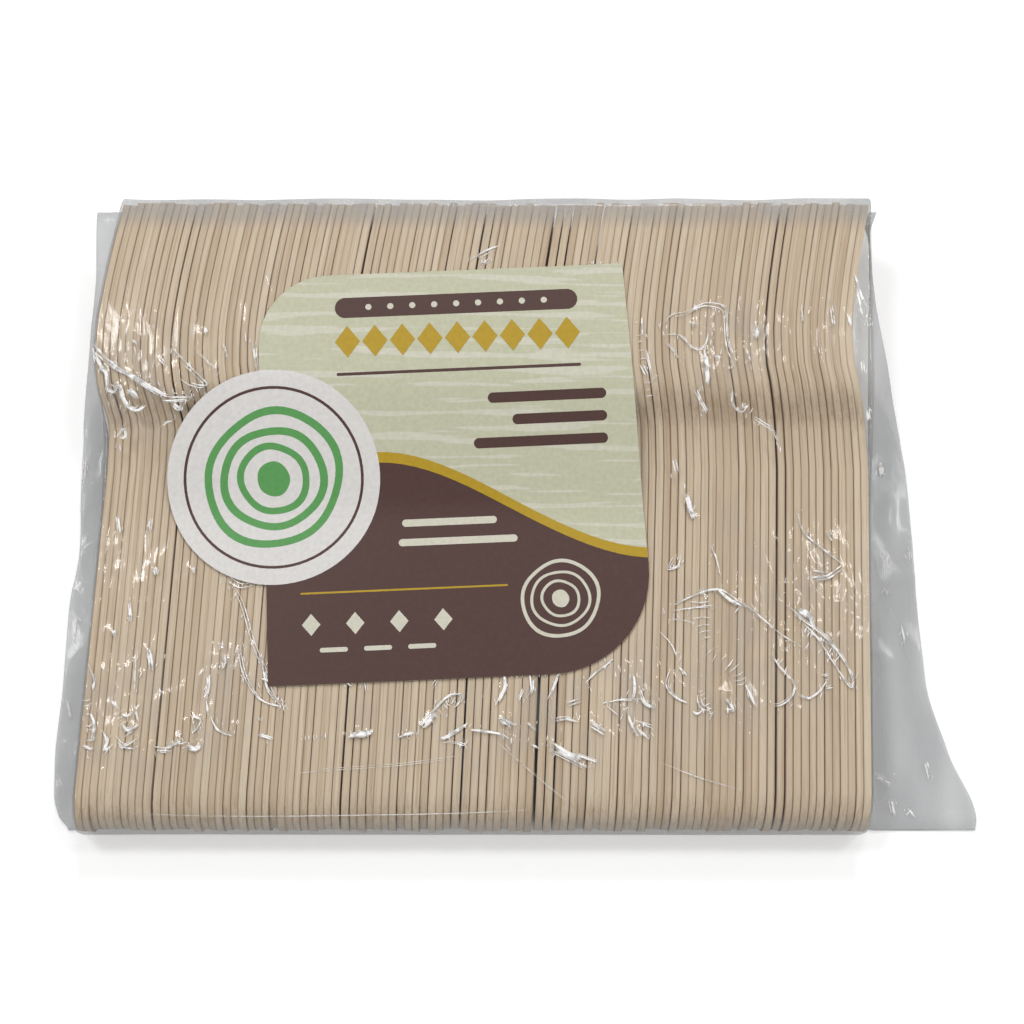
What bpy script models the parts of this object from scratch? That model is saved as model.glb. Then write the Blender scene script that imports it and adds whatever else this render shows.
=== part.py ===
"""A clear film bag of one hundred wooden forks.

The forks are nested face to face and stand on their long edges, so their cut edges make the top of
the pack. X runs across the row of forks, Y along them with the tines at +Y, and Z is up.
The bag lies flat with its underside at Z = 0. All lengths are in metres.
"""

import math
import random

import bmesh
import bpy
from mathutils import Matrix, Vector

# One fork, measured from its handle end. It is cut from a flat veneer and pressed into a shallow S.
FORK_COUNT = 100
FORKS_PER_NODE = 2
FORK_LENGTH = 0.160
FORK_THICK = 0.0016
HANDLE_END_WIDTH = 0.019
END_ARC_STEPS = 5
NECK_AT = 0.101
NECK_WIDTH = 0.013
SHOULDER_AT = 0.112
HEAD_WIDTH = 0.028
TINE_LENGTH = 0.030
TINE_COUNT = 4
TINE_TIP_WIDTH = 0.0032
TIPS_WIDTH = 0.026
SLOT_WIDTH = 0.0024

# How far each station of the fork is pressed sideways from the plane of its handle.
SHOULDER_PRESS = -0.0017
BELLY_PRESS = -0.0038
TIP_PRESS = -0.0006

# The row of forks. The forks lean like the slats of a fan, most at the left.
TOUCH_GAP = 0.0003
LOOSE_GAP = 0.0009
LOOSE_SHARE = 0.20
ROW_SEED = 6
LEAN_LEFT = math.radians(3.32)
LEAN_RIGHT = math.radians(2.29)
HANDLE_END_Y = -0.0815
CONTACT_INSET = 0.0055

# The bag: a tube of film pressed flat into a fin on the left and a wide flap on the right.
FILM_THICK = 0.0002
END_SLACK = 0.0012
FIN_THICK = 0.0010
FIN_NEAR_Y = -0.0800
FIN_FAR_Y = 0.0770
LEFT_FIN_ROOT = 0.0035
LEFT_FIN_WIDTH = 0.0050
RIGHT_FIN_ROOT = 0.0045
RIGHT_FLAP_FAR_WIDTH = 0.0012
RIGHT_FLAP_WIDTH = 0.0070
RIGHT_FLAP_NEAR_WIDTH = 0.0225
FLAP_FLARE_LENGTH = 0.040
FILM_LANDING_AT = 0.078
FILM_CORNER = 0.003

# The label: a panel with two large round corners, and a disc over its left side. It is stuck on askew.
LABEL_THICK = 0.0002
LABEL_X = -0.0075
LABEL_Y = 0.0070
LABEL_TURN = math.radians(2.5)
PANEL_WIDTH = 0.097
PANEL_TAPER = 0.0035
PANEL_HEIGHT = 0.104
PANEL_FAR_CORNER = 0.018
PANEL_NEAR_CORNER = 0.027
DISC_RADIUS = 0.027
DISC_PAST_PANEL = 0.0245
DISC_UP = 0.0005
DISC_STEPS = 20
CORNER_STEPS = 4

COLLECTION = "wooden_fork_pack"


def clear_scene():
    for obj in list(bpy.data.objects):
        bpy.data.objects.remove(obj, do_unlink=True)


def material(name, colour, roughness, alpha=1.0):
    """A Principled material; none of the pieces is metal."""
    made = bpy.data.materials.new(name)
    made.use_nodes = True
    shader = made.node_tree.nodes["Principled BSDF"]
    shader.inputs["Base Color"].default_value = (*colour, 1.0)
    shader.inputs["Roughness"].default_value = roughness
    shader.inputs["Metallic"].default_value = 0.0
    shader.inputs["Alpha"].default_value = alpha
    return made


def flat_plate(name, outline, thick):
    """A closed plate in the XY plane from a 2D curve, with its caps as single faces."""
    curve = bpy.data.curves.new(name + "_outline", "CURVE")
    curve.dimensions = "2D"
    curve.fill_mode = "BOTH"
    curve.extrude = thick / 2
    spline = curve.splines.new("POLY")
    spline.points.add(len(outline) - 1)
    for point, (x, y) in zip(spline.points, outline):
        point.co = (x, y, 0, 1)
    spline.use_cyclic_u = True
    guide = bpy.data.objects.new(name + "_outline", curve)
    bpy.context.scene.collection.objects.link(guide)
    graph = bpy.context.evaluated_depsgraph_get()
    mesh = bpy.data.meshes.new_from_object(guide.evaluated_get(graph))
    bpy.data.objects.remove(guide, do_unlink=True)
    plate = bmesh.new()
    plate.from_mesh(mesh)
    bpy.data.meshes.remove(mesh)
    bmesh.ops.remove_doubles(plate, verts=plate.verts, dist=0.00001)
    bmesh.ops.dissolve_limit(plate, angle_limit=math.radians(1), verts=[], edges=plate.edges)
    return plate


def cut_across(plate, stations):
    """Cuts the plate straight across at each station in Y, so that it can bend there."""
    for y in stations:
        everything = plate.verts[:] + plate.edges[:] + plate.faces[:]
        bmesh.ops.bisect_plane(plate, geom=everything, dist=0.00001, plane_co=(0, y, 0), plane_no=(0, 1, 0))


def between(points, at):
    """The height at this place along a line through (place, height) points, level past its ends."""
    for (x0, y0), (x1, y1) in zip(points, points[1:]):
        if at <= x1:
            return y0 + (y1 - y0) * max(0.0, (at - x0) / (x1 - x0))
    return points[-1][1]


def tine_outline():
    """The tips and slot roots from the +X side of the head to its -X side, as (across, along)."""
    root_at = FORK_LENGTH - TINE_LENGTH
    root_tine = (HEAD_WIDTH - (TINE_COUNT - 1) * SLOT_WIDTH) / TINE_COUNT
    tip_step = (TIPS_WIDTH - TINE_TIP_WIDTH) / (TINE_COUNT - 1)
    points = []
    for i in range(TINE_COUNT):
        tip_centre = (TIPS_WIDTH - TINE_TIP_WIDTH) / 2 - i * tip_step
        root_edge = HEAD_WIDTH / 2 - i * (root_tine + SLOT_WIDTH)
        points.append((root_edge, root_at))
        points.append((tip_centre + TINE_TIP_WIDTH / 2, FORK_LENGTH))
        points.append((tip_centre - TINE_TIP_WIDTH / 2, FORK_LENGTH))
        points.append((root_edge - root_tine, root_at))
    return points


def fork_outline():
    """The whole outline of a fork laid flat, as (across, along) from its handle end."""
    radius = HANDLE_END_WIDTH / 2
    arc = []
    for i in range(END_ARC_STEPS + 1):
        angle = math.pi * i / END_ARC_STEPS
        arc.append((-radius * math.cos(angle), radius - radius * math.sin(angle)))
    right = [(NECK_WIDTH / 2, NECK_AT), (HEAD_WIDTH / 2, SHOULDER_AT)]
    left = [(-x, y) for x, y in reversed(right)]
    return arc + right + tine_outline() + left


def press(along):
    """The sideways offset of the pressed fork at this distance from its handle end."""
    belly_at = FORK_LENGTH - TINE_LENGTH
    stations = ((NECK_AT, 0.0), (SHOULDER_AT, SHOULDER_PRESS), (belly_at, BELLY_PRESS), (FORK_LENGTH, TIP_PRESS))
    return between(stations, along)


def fork_tilt():
    """A fork on its edge touches the floor at its shoulder and at its handle end, so it tilts."""
    rise = (HEAD_WIDTH - HANDLE_END_WIDTH) / 2
    return math.atan2(rise, SHOULDER_AT - HANDLE_END_WIDTH / 2)


def fork_floor():
    """The height that the lowest corners of the forks stand at, inside the film."""
    return FILM_THICK + TOUCH_GAP


def fork_edge(along, half_width):
    """Where a point on a fork's upper edge lies in the pack, as (y, z)."""
    tilt = fork_tilt()
    radius = HANDLE_END_WIDTH / 2
    from_end = along - radius
    y = HANDLE_END_Y + radius + from_end * math.cos(tilt) - half_width * math.sin(tilt)
    z = fork_floor() + radius + from_end * math.sin(tilt) + half_width * math.cos(tilt)
    return y, z


def handle_face(plate, x):
    """The long flat face of a handle on the plane at this x."""
    found = [f for f in plate.faces if abs(f.normal.x) > 0.99 and abs(f.calc_center_median().x - x) < 0.00005]
    return max(found, key=lambda face: face.calc_area())


def fork_pair_mesh():
    """Two nested forks side by side in X, which touch along the middle of their handles."""
    plate = flat_plate("fork", fork_outline(), FORK_THICK)
    cut_across(plate, (HANDLE_END_WIDTH / 2, NECK_AT, SHOULDER_AT, FORK_LENGTH - TINE_LENGTH))
    radius = HANDLE_END_WIDTH / 2
    tilt = fork_tilt()
    for vert in plate.verts:
        across, along, through = vert.co
        from_end = along - radius
        vert.co.x = through + press(along)
        vert.co.y = from_end * math.cos(tilt) - across * math.sin(tilt)
        vert.co.z = from_end * math.sin(tilt) + across * math.cos(tilt)
    bmesh.ops.recalc_face_normals(plate, faces=plate.faces)
    pitch = FORK_THICK + TOUCH_GAP
    copy = bmesh.ops.duplicate(plate, geom=plate.verts[:] + plate.edges[:] + plate.faces[:])
    copied = [item for item in copy["geom"] if isinstance(item, bmesh.types.BMVert)]
    bmesh.ops.translate(plate, vec=(pitch, 0, 0), verts=copied)
    facing = [handle_face(plate, FORK_THICK / 2), handle_face(plate, pitch - FORK_THICK / 2)]
    bmesh.ops.inset_individual(plate, faces=facing, thickness=CONTACT_INSET)
    rims = [edge for face in facing for edge in face.edges]
    bmesh.ops.delete(plate, geom=facing, context="FACES_ONLY")
    bmesh.ops.bridge_loops(plate, edges=rims)
    bmesh.ops.translate(plate, vec=(-pitch / 2, 0, 0), verts=plate.verts)
    bmesh.ops.triangulate(plate, faces=plate.faces)
    bmesh.ops.recalc_face_normals(plate, faces=plate.faces)
    mesh = bpy.data.meshes.new("fork_pair")
    plate.to_mesh(mesh)
    plate.free()
    return mesh


def lean_at(share):
    """The angle that a fork leans by, this share of the way along the row."""
    return LEAN_LEFT + (LEAN_RIGHT - LEAN_LEFT) * share


def row_of_pairs():
    """The place at Y = 0 and the lean of each pair of forks, from left to right."""
    pairs = FORK_COUNT // FORKS_PER_NODE
    picker = random.Random(ROW_SEED)
    fan_room = math.tan(LEAN_LEFT - LEAN_RIGHT) / pairs * max(-HANDLE_END_Y, FORK_LENGTH + HANDLE_END_Y)
    pair_width = FORKS_PER_NODE * FORK_THICK + (FORKS_PER_NODE - 1) * TOUCH_GAP
    places = []
    x = 0.0
    for i in range(pairs):
        places.append(x)
        gap = LOOSE_GAP if picker.random() < LOOSE_SHARE else TOUCH_GAP
        x += pair_width + gap + fan_room
    middle = places[-1] / 2
    return [(x - middle, lean_at(i / (pairs - 1))) for i, x in enumerate(places)]


def row_edges():
    """The outer faces of the first and the last fork at Y = 0."""
    row = row_of_pairs()
    half = (FORKS_PER_NODE * FORK_THICK + (FORKS_PER_NODE - 1) * TOUCH_GAP) / 2
    return row[0][0] - half, row[-1][0] + half


def make_forks(collection, wood):
    mesh = fork_pair_mesh()
    mesh.materials.append(wood)
    origin_y = HANDLE_END_Y + HANDLE_END_WIDTH / 2
    for i, (x, lean) in enumerate(row_of_pairs()):
        pair = bpy.data.objects.new(f"fork_pair_{i + 1:02d}", mesh)
        pair.location = (x + math.tan(lean) * origin_y, origin_y, fork_floor() + HANDLE_END_WIDTH / 2)
        pair.rotation_euler = (0, 0, -lean)
        collection.objects.link(pair)


def film_top_line():
    """The bag's upper side over the forks as (y, z), from the handle ends to the tine tips."""
    clear = TOUCH_GAP + FILM_THICK
    radius = HANDLE_END_WIDTH / 2
    handle_half = radius + (NECK_WIDTH / 2 - radius) * FILM_LANDING_AT / NECK_AT
    edges = (
        fork_edge(radius, radius),
        fork_edge(FILM_LANDING_AT, handle_half),
        fork_edge(SHOULDER_AT, HEAD_WIDTH / 2),
        fork_edge(FORK_LENGTH - TINE_LENGTH, HEAD_WIDTH / 2),
        fork_edge(FORK_LENGTH, TIPS_WIDTH / 2),
    )
    return [(y, z + clear) for y, z in edges]


def full_section():
    """The bag's outer section around the forks, as (y, z) from the near floor edge over the top."""
    top = film_top_line()
    near = HANDLE_END_Y - TOUCH_GAP - FILM_THICK
    far = fork_edge(FORK_LENGTH, 0)[0] + END_SLACK
    bend = HANDLE_END_WIDTH / 2 * math.tan(math.pi / 8)
    middle = fork_floor() + HANDLE_END_WIDTH / 2
    return [
        (near + FILM_CORNER, 0.0),
        (near, FILM_CORNER),
        (near, middle + bend),
        (near + HANDLE_END_WIDTH / 2 - bend, top[0][1]),
        *top[1:],
        (far, top[-1][1] - FILM_CORNER),
        (far, FILM_CORNER),
        (far - FILM_CORNER, 0.0),
    ]


def fin_section():
    """The same points as the full section, pressed flat on the floor."""
    full = full_section()
    top_z = max(z for y, z in full)
    first_y = min(y for y, z in full)
    last_y = max(y for y, z in full)
    flat = []
    for y, z in full:
        share = (y - first_y) / (last_y - first_y)
        flat.append((FIN_NEAR_Y + share * (FIN_FAR_Y - FIN_NEAR_Y), FIN_THICK * min(1.0, 1.6 * z / top_z)))
    return flat


def left_wall(y):
    """The bag's left wall follows the first fork's lean."""
    edge = row_edges()[0] - 2 * TOUCH_GAP - FILM_THICK
    return edge + math.tan(LEAN_LEFT) * y + min(0.0, press(y - HANDLE_END_Y))


def right_wall(y):
    return row_edges()[1] + 2 * TOUCH_GAP + FILM_THICK + math.tan(LEAN_RIGHT) * max(y, 0.0)


def right_flap(y):
    """The width of the loose flap at the right, which flares towards the handle ends."""
    widths = (
        (FIN_NEAR_Y, RIGHT_FLAP_NEAR_WIDTH),
        (FIN_NEAR_Y + FLAP_FLARE_LENGTH, RIGHT_FLAP_WIDTH),
        (0.0, RIGHT_FLAP_WIDTH),
        (FIN_FAR_Y, RIGHT_FLAP_FAR_WIDTH),
    )
    return between(widths, y)


def film_rings():
    """The bag's sections from the left fin's edge to the right flap's edge, as lists of corners."""
    full = full_section()
    fin = fin_section()
    return [
        [Vector((left_wall(y) - LEFT_FIN_ROOT - LEFT_FIN_WIDTH, y, z)) for y, z in fin],
        [Vector((left_wall(y) - LEFT_FIN_ROOT, y, z)) for y, z in fin],
        [Vector((left_wall(y), y, z)) for y, z in full],
        [Vector((right_wall(y), y, z)) for y, z in full],
        [Vector((right_wall(y) + RIGHT_FIN_ROOT, y, z)) for y, z in fin],
        [Vector((right_wall(y) + RIGHT_FIN_ROOT + right_flap(y), y, z)) for y, z in fin],
    ]


def make_film_bag(collection, film):
    """The film is lofted by hand, because its full and its flat sections are unlike."""
    bag = bmesh.new()
    rings = [[bag.verts.new(corner) for corner in ring] for ring in film_rings()]
    for ring, after in zip(rings, rings[1:]):
        for i in range(len(ring)):
            j = (i + 1) % len(ring)
            bag.faces.new((ring[i], ring[j], after[j], after[i]))
    bag.faces.new(rings[0])
    bmesh.ops.triangulate(bag, faces=bag.faces)
    bmesh.ops.recalc_face_normals(bag, faces=bag.faces)
    mesh = bpy.data.meshes.new("film_bag")
    bag.to_mesh(mesh)
    bag.free()
    mesh.materials.append(film)
    obj = bpy.data.objects.new("film_bag", mesh)
    wall = obj.modifiers.new("film_wall", "SOLIDIFY")
    wall.thickness = FILM_THICK
    wall.offset = -1
    wall.use_even_offset = True
    collection.objects.link(obj)


def corner_arc(cx, cy, radius, start):
    """Points of a quarter circle, anticlockwise from the start angle in degrees."""
    points = []
    for i in range(CORNER_STEPS + 1):
        angle = math.radians(start + 90 * i / CORNER_STEPS)
        points.append((cx + radius * math.cos(angle), cy + radius * math.sin(angle)))
    return points


def label_outline():
    """The die-cut outline: the panel, with the disc standing out past its left side."""
    left = -PANEL_WIDTH / 2
    right = PANEL_WIDTH / 2
    near = -PANEL_HEIGHT / 2
    far = PANEL_HEIGHT / 2
    disc_x = left + DISC_RADIUS - DISC_PAST_PANEL
    meet = math.acos((left - disc_x) / DISC_RADIUS)
    sweep = 2 * (math.pi - meet)
    steps = math.ceil(DISC_STEPS * sweep / math.tau)
    outline = [(left, near)]
    outline += corner_arc(right - PANEL_NEAR_CORNER, near + PANEL_NEAR_CORNER, PANEL_NEAR_CORNER, -90)
    outline.append((right - PANEL_TAPER, far))
    outline += corner_arc(left + PANEL_FAR_CORNER, far - PANEL_FAR_CORNER, PANEL_FAR_CORNER, 90)
    for i in range(steps + 1):
        angle = meet + sweep * i / steps
        outline.append((disc_x + DISC_RADIUS * math.cos(angle), DISC_UP + DISC_RADIUS * math.sin(angle)))
    return outline


def make_label(collection, paper):
    plate = flat_plate("label", label_outline(), LABEL_THICK)
    bmesh.ops.rotate(plate, verts=plate.verts, cent=(0, 0, 0), matrix=Matrix.Rotation(LABEL_TURN, 3, "Z"))
    bmesh.ops.translate(plate, verts=plate.verts, vec=(LABEL_X, LABEL_Y, 0))
    top = film_top_line()
    cut_across(plate, [y for y, z in top[1:-1]])
    for vert in plate.verts:
        vert.co.z += between(top, vert.co.y) + TOUCH_GAP + LABEL_THICK / 2
    bmesh.ops.triangulate(plate, faces=plate.faces)
    bmesh.ops.recalc_face_normals(plate, faces=plate.faces)
    mesh = bpy.data.meshes.new("label")
    plate.to_mesh(mesh)
    plate.free()
    mesh.materials.append(paper)
    collection.objects.link(bpy.data.objects.new("label", mesh))


def main():
    clear_scene()
    collection = bpy.data.collections.new(COLLECTION)
    bpy.context.scene.collection.children.link(collection)
    make_forks(collection, material("birch", (0.60, 0.48, 0.33), 0.7))
    make_film_bag(collection, material("clear_film", (0.85, 0.87, 0.88), 0.1, alpha=0.3))
    make_label(collection, material("label_paper", (0.56, 0.60, 0.40), 0.5))


main()
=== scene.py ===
# %% [markdown]
# # A clear film bag of wooden forks
#
# The object is a shop pack: a hundred birch forks, nested face to face and stood on their long
# edges, closed up in a bag of clear film with a die-cut paper label on top. What the eye sees from
# above is a row of thin wooden strips, each one bent like a shallow S, under a skin of crinkled film.
#
# The solids from the CAD step are the fixed frame. Everything here is placed from their boxes and
# from the same few driving sizes, and nothing of theirs is moved.

# %% Load the frame
import math
import random

import bmesh
import bpy
import numpy as np
from mathutils import Matrix, Vector, noise


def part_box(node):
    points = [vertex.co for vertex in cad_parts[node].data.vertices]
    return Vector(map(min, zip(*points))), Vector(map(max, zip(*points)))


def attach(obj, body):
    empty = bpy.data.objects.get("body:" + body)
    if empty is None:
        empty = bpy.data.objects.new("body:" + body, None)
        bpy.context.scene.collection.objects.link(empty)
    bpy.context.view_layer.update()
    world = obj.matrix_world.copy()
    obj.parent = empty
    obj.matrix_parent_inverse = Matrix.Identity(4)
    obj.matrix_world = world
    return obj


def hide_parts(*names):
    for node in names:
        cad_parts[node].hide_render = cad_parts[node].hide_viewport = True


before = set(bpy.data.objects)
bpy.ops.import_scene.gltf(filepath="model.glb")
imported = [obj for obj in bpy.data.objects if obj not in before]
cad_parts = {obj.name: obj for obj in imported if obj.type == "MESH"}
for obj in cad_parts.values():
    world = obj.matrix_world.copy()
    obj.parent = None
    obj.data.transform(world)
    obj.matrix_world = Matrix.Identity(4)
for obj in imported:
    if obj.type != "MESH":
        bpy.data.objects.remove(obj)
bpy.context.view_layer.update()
MM = 0.001
PAIR_NODES = sorted(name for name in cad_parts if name.startswith("fork_pair_"))
bag_low, bag_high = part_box("film_bag")
print("fork pairs:", len(PAIR_NODES), "bag in mm:", [round(v / MM, 1) for v in bag_high - bag_low])

# %% [markdown]
# ## Sizes
#
# The forks are taken to be 160 mm long, a common length for wooden ones. The sizes below are those
# of the solids, because a piece that stands for a solid keeps its size. Only the thickness differs:
# real forks lie face to face, while the solids keep a small gap, so the visible forks are thicker.

# %% Driving sizes of a fork and of the row
FORK_LENGTH = 160 * MM
HANDLE_END_WIDTH = 19 * MM
NECK_AT, NECK_WIDTH = 101 * MM, 13 * MM
SHOULDER_AT, HEAD_WIDTH = 112 * MM, 28 * MM
TINE_LENGTH, TINE_COUNT = 30 * MM, 4
TIPS_WIDTH, TINE_TIP_WIDTH, SLOT_WIDTH = 26 * MM, 3.2 * MM, 2.4 * MM
HANDLE_END_Y = -81.5 * MM
FORK_FLOOR = 0.5 * MM
SOLID_THICK, TOUCH_GAP, LOOSE_GAP = 1.6 * MM, 0.3 * MM, 0.9 * MM
LOOSE_SHARE, ROW_SEED = 0.20, 6
LEAN_LEFT, LEAN_RIGHT = math.radians(3.32), math.radians(2.29)
END_RADIUS = HANDLE_END_WIDTH / 2
ROOT_AT = FORK_LENGTH - TINE_LENGTH
TILT = math.atan2((HEAD_WIDTH - HANDLE_END_WIDTH) / 2, SHOULDER_AT - END_RADIUS)
print("a fork on its edge tilts by", round(math.degrees(TILT), 2), "degrees")

# %% [markdown]
# ## The camera
#
# The photograph looks down at about 76 degrees from the side of the handles. The fork's length and
# the way that the row narrows towards the tines give the distance, a bit under half a metre. The
# camera looks straight at the middle of the row, and a small shift puts it where the photo has it.

# %% Camera
IMAGE_SIZE = 1024
ORIGIN_PIXEL = (485, 522)
FOCAL_PIXELS = 1786
CAMERA_DISTANCE = 0.473
CAMERA_ELEVATION = math.radians(76)
SENSOR_WIDTH = 36.0

camera_data = bpy.data.cameras.new("camera")
camera_data.sensor_width = SENSOR_WIDTH
camera_data.lens = FOCAL_PIXELS / IMAGE_SIZE * SENSOR_WIDTH
camera_data.shift_x = (IMAGE_SIZE / 2 - ORIGIN_PIXEL[0]) / IMAGE_SIZE
camera_data.shift_y = (ORIGIN_PIXEL[1] - IMAGE_SIZE / 2) / IMAGE_SIZE
camera_data.clip_start = 0.01
camera = bpy.data.objects.new("camera", camera_data)
bpy.context.scene.collection.objects.link(camera)
toward_camera = Vector((0, -math.cos(CAMERA_ELEVATION), math.sin(CAMERA_ELEVATION)))
camera.location = toward_camera * CAMERA_DISTANCE
camera.rotation_euler = (math.pi / 2 - CAMERA_ELEVATION, 0, 0)
bpy.context.scene.camera = camera
print("lens in mm:", round(camera_data.lens, 1))

# %% [markdown]
# ## Light, floor and background
#
# Film is only seen by what it reflects, so it needs lamps that are small and bright enough to
# sparkle in its creases, and a soft world that fills the rest. Five small soft boxes stand round the
# pack. None of them is where flat film mirrors the camera, so only creases and ripples catch them.
# The floor is white to the camera, but that glow fades out over a few millimetres round the pack and
# is left off under it: painted shade, which keeps the gaps between forks dark.

# %% Helpers for node trees
FINE_BUMP = 0.1 * MM


def node(tree, kind, inputs=None, **settings):
    """Adds a node, sets its properties, then fills or links its inputs."""
    made = tree.nodes.new(kind)
    for name, value in settings.items():
        setattr(made, name, value)
    for key, value in (inputs or {}).items():
        socket = made.inputs[key]
        if isinstance(value, bpy.types.NodeSocket):
            tree.links.new(value, socket)
        else:
            socket.default_value = value
    return made


def maths(tree, operation, *values):
    """One Math node's output."""
    return node(tree, "ShaderNodeMath", dict(enumerate(values)), operation=operation).outputs[0]


def ramp(tree, value, *levels):
    """Maps a value from one range to another, given as four levels. What is left out is 0 to 1."""
    return node(tree, "ShaderNodeMapRange", dict(enumerate((value, *levels)))).outputs[0]


def attribute(tree, name, output="Fac"):
    return node(tree, "ShaderNodeAttribute", attribute_name=name).outputs[output]


def cloudy(tree, place, scale, detail, **more):
    """Noise from 0 to 1. A scale for each axis stretches it."""
    if isinstance(scale, tuple):
        place = node(tree, "ShaderNodeMapping", {"Vector": place, "Scale": scale}).outputs[0]
        scale = 1.0
    settings = {"Vector": place, "Scale": scale, "Detail": detail, **more}
    return node(tree, "ShaderNodeTexNoise", settings).outputs[0]


def bump(tree, height, strength, distance):
    settings = {"Strength": strength, "Distance": distance, "Height": height}
    return node(tree, "ShaderNodeBump", settings).outputs[0]


def principled(tree, colour, roughness, specular, **more):
    settings = {"Base Color": colour, "Roughness": roughness, "Specular IOR Level": specular, **more}
    return node(tree, "ShaderNodeBsdfPrincipled", settings).outputs[0]


def mix_shaders(tree, share, first, second):
    return node(tree, "ShaderNodeMixShader", {0: share, 1: first, 2: second}).outputs[0]


def put_on(tree, surface):
    node(tree, "ShaderNodeOutputMaterial", {"Surface": surface})


def empty_material(name):
    material = bpy.data.materials.new(name)
    material.use_nodes = True
    material.node_tree.nodes.clear()
    return material, material.node_tree


# %% Helpers for objects
SMOOTH_UNDER = math.radians(35)


def select_only(*objects):
    """Selects these objects and makes the first one active."""
    bpy.ops.object.select_all(action="DESELECT")
    for obj in objects:
        obj.select_set(True)
    bpy.context.view_layer.objects.active = objects[0]


def add_values(mesh, name, values):
    """Gives a mesh an attribute with one number for each point."""
    made = mesh.attributes.new(name, "FLOAT", "POINT")
    made.data.foreach_set("value", values.astype(np.float32))


def add_mesh(operator, **settings):
    """Adds a mesh object with nothing else selected."""
    bpy.ops.object.select_all(action="DESELECT")
    operator(**settings)
    return bpy.context.object


# %% World, lamps and floor
WORLD_FILL = 0.45
LAMP_SIDE, LAMP_DISTANCE = 0.29, 1.8
# name, azimuth and elevation in degrees, strength
LAMPS = (("far_right", 55, 62, 17), ("far_left", -52, 64, 26), ("far_middle", 8, 50, 25),
         ("near_right", 105, 52, 7), ("near_left", -108, 52, 10))
FLOOR_HALF = 3.0
FLOOR_SHADE = 0.80
FLOOR_LIFT = 0.30
PACK_SHADE, SHADE_MIDDLE_Y, SHADE_EDGE = (94 * MM, 81 * MM), 3 * MM, 4 * MM


def make_world():
    world = bpy.data.worlds.new("studio")
    world.use_nodes = True
    tree = world.node_tree
    tree.nodes.clear()
    path = node(tree, "ShaderNodeLightPath")
    seen = maths(tree, "MAXIMUM", path.outputs["Is Camera Ray"], path.outputs["Is Transmission Ray"])
    level = ramp(tree, seen, 0.0, 1.0, WORLD_FILL, 1.0)
    sky = node(tree, "ShaderNodeBackground", {"Color": (1, 1, 1, 1), "Strength": level})
    node(tree, "ShaderNodeOutputWorld", {"Surface": sky.outputs[0]})
    bpy.context.scene.world = world


def add_lamp(name, azimuth, elevation, strength):
    """A square soft box that shines at the pack. Its strength is the brightness of its face."""
    data = bpy.data.lights.new(name, "AREA")
    data.size = LAMP_SIDE
    data.energy = strength * math.pi * LAMP_SIDE ** 2
    lamp = bpy.data.objects.new(name, data)
    turn, rise = math.radians(azimuth), math.radians(elevation)
    toward = Vector((math.sin(turn) * math.cos(rise), math.cos(turn) * math.cos(rise), math.sin(rise)))
    lamp.location = toward * LAMP_DISTANCE
    lamp.rotation_euler = toward.to_track_quat("Z", "Y").to_euler()
    bpy.context.scene.collection.objects.link(lamp)


def make_floor():
    floor = add_mesh(bpy.ops.mesh.primitive_plane_add, size=2 * FLOOR_HALF)
    floor.name = "floor"
    material, tree = empty_material("floor")
    path = node(tree, "ShaderNodeLightPath")
    matt = node(tree, "ShaderNodeBsdfDiffuse", {"Color": (FLOOR_SHADE, FLOOR_SHADE, FLOOR_SHADE, 1)})
    place = node(tree, "ShaderNodeTexCoord")
    xyz = node(tree, "ShaderNodeSeparateXYZ", {0: place.outputs["Object"]})
    leaned = maths(tree, "MULTIPLY_ADD", xyz.outputs["Y"], -math.tan(LEAN_RIGHT), xyz.outputs["X"])
    middled = maths(tree, "SUBTRACT", xyz.outputs["Y"], SHADE_MIDDLE_Y)
    past_x = maths(tree, "SUBTRACT", maths(tree, "ABSOLUTE", leaned), PACK_SHADE[0])
    past_y = maths(tree, "SUBTRACT", maths(tree, "ABSOLUTE", middled), PACK_SHADE[1])
    past = maths(tree, "MAXIMUM", past_x, past_y)
    # Painted shade: the glow to the camera fades out round the pack and is left off under it.
    open_floor = ramp(tree, past, 0.0, SHADE_EDGE, 0.0, FLOOR_LIFT)
    lift = maths(tree, "MULTIPLY", open_floor, path.outputs["Is Camera Ray"])
    glow = node(tree, "ShaderNodeEmission", {"Color": (1, 1, 1, 1), "Strength": lift})
    both = node(tree, "ShaderNodeAddShader", {0: matt.outputs[0], 1: glow.outputs[0]})
    put_on(tree, both.outputs[0])
    floor.data.materials.append(material)


make_world()
for name, azimuth, elevation, strength in LAMPS:
    add_lamp(name + "_lamp", azimuth, elevation, strength)
make_floor()
bpy.context.scene.view_settings.view_transform = "Standard"

# %% [markdown]
# ## Birch
#
# The wood is taken to be birch veneer. Its colour is pale and even; along a cut edge run fine straight
# fibres, and each fork is a shade lighter or darker than the next. The pattern has to follow the bent
# fork, so each fork carries an attribute called grain that says how far across the fork, along it and
# through the veneer a point lies, and another called tone that is one number for the whole fork. The
# rims of a cut edge and the flat faces, which show only in the gaps, are painted browner, some more
# than others, and a third attribute says how much: partly a darkened cut edge, partly painted shade
# between the forks. That makes the lines between forks brown.

# %% Grain node group
VENEER = 1.84 * MM
RIM_FROM = 0.58 * MM


def mix_colours(tree, share, first, second, blend="MIX"):
    """One Mix node's colour."""
    made = node(tree, "ShaderNodeMix", {0: share, 6: first, 7: second}, data_type="RGBA", blend_type=blend)
    return made.outputs[2]


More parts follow.
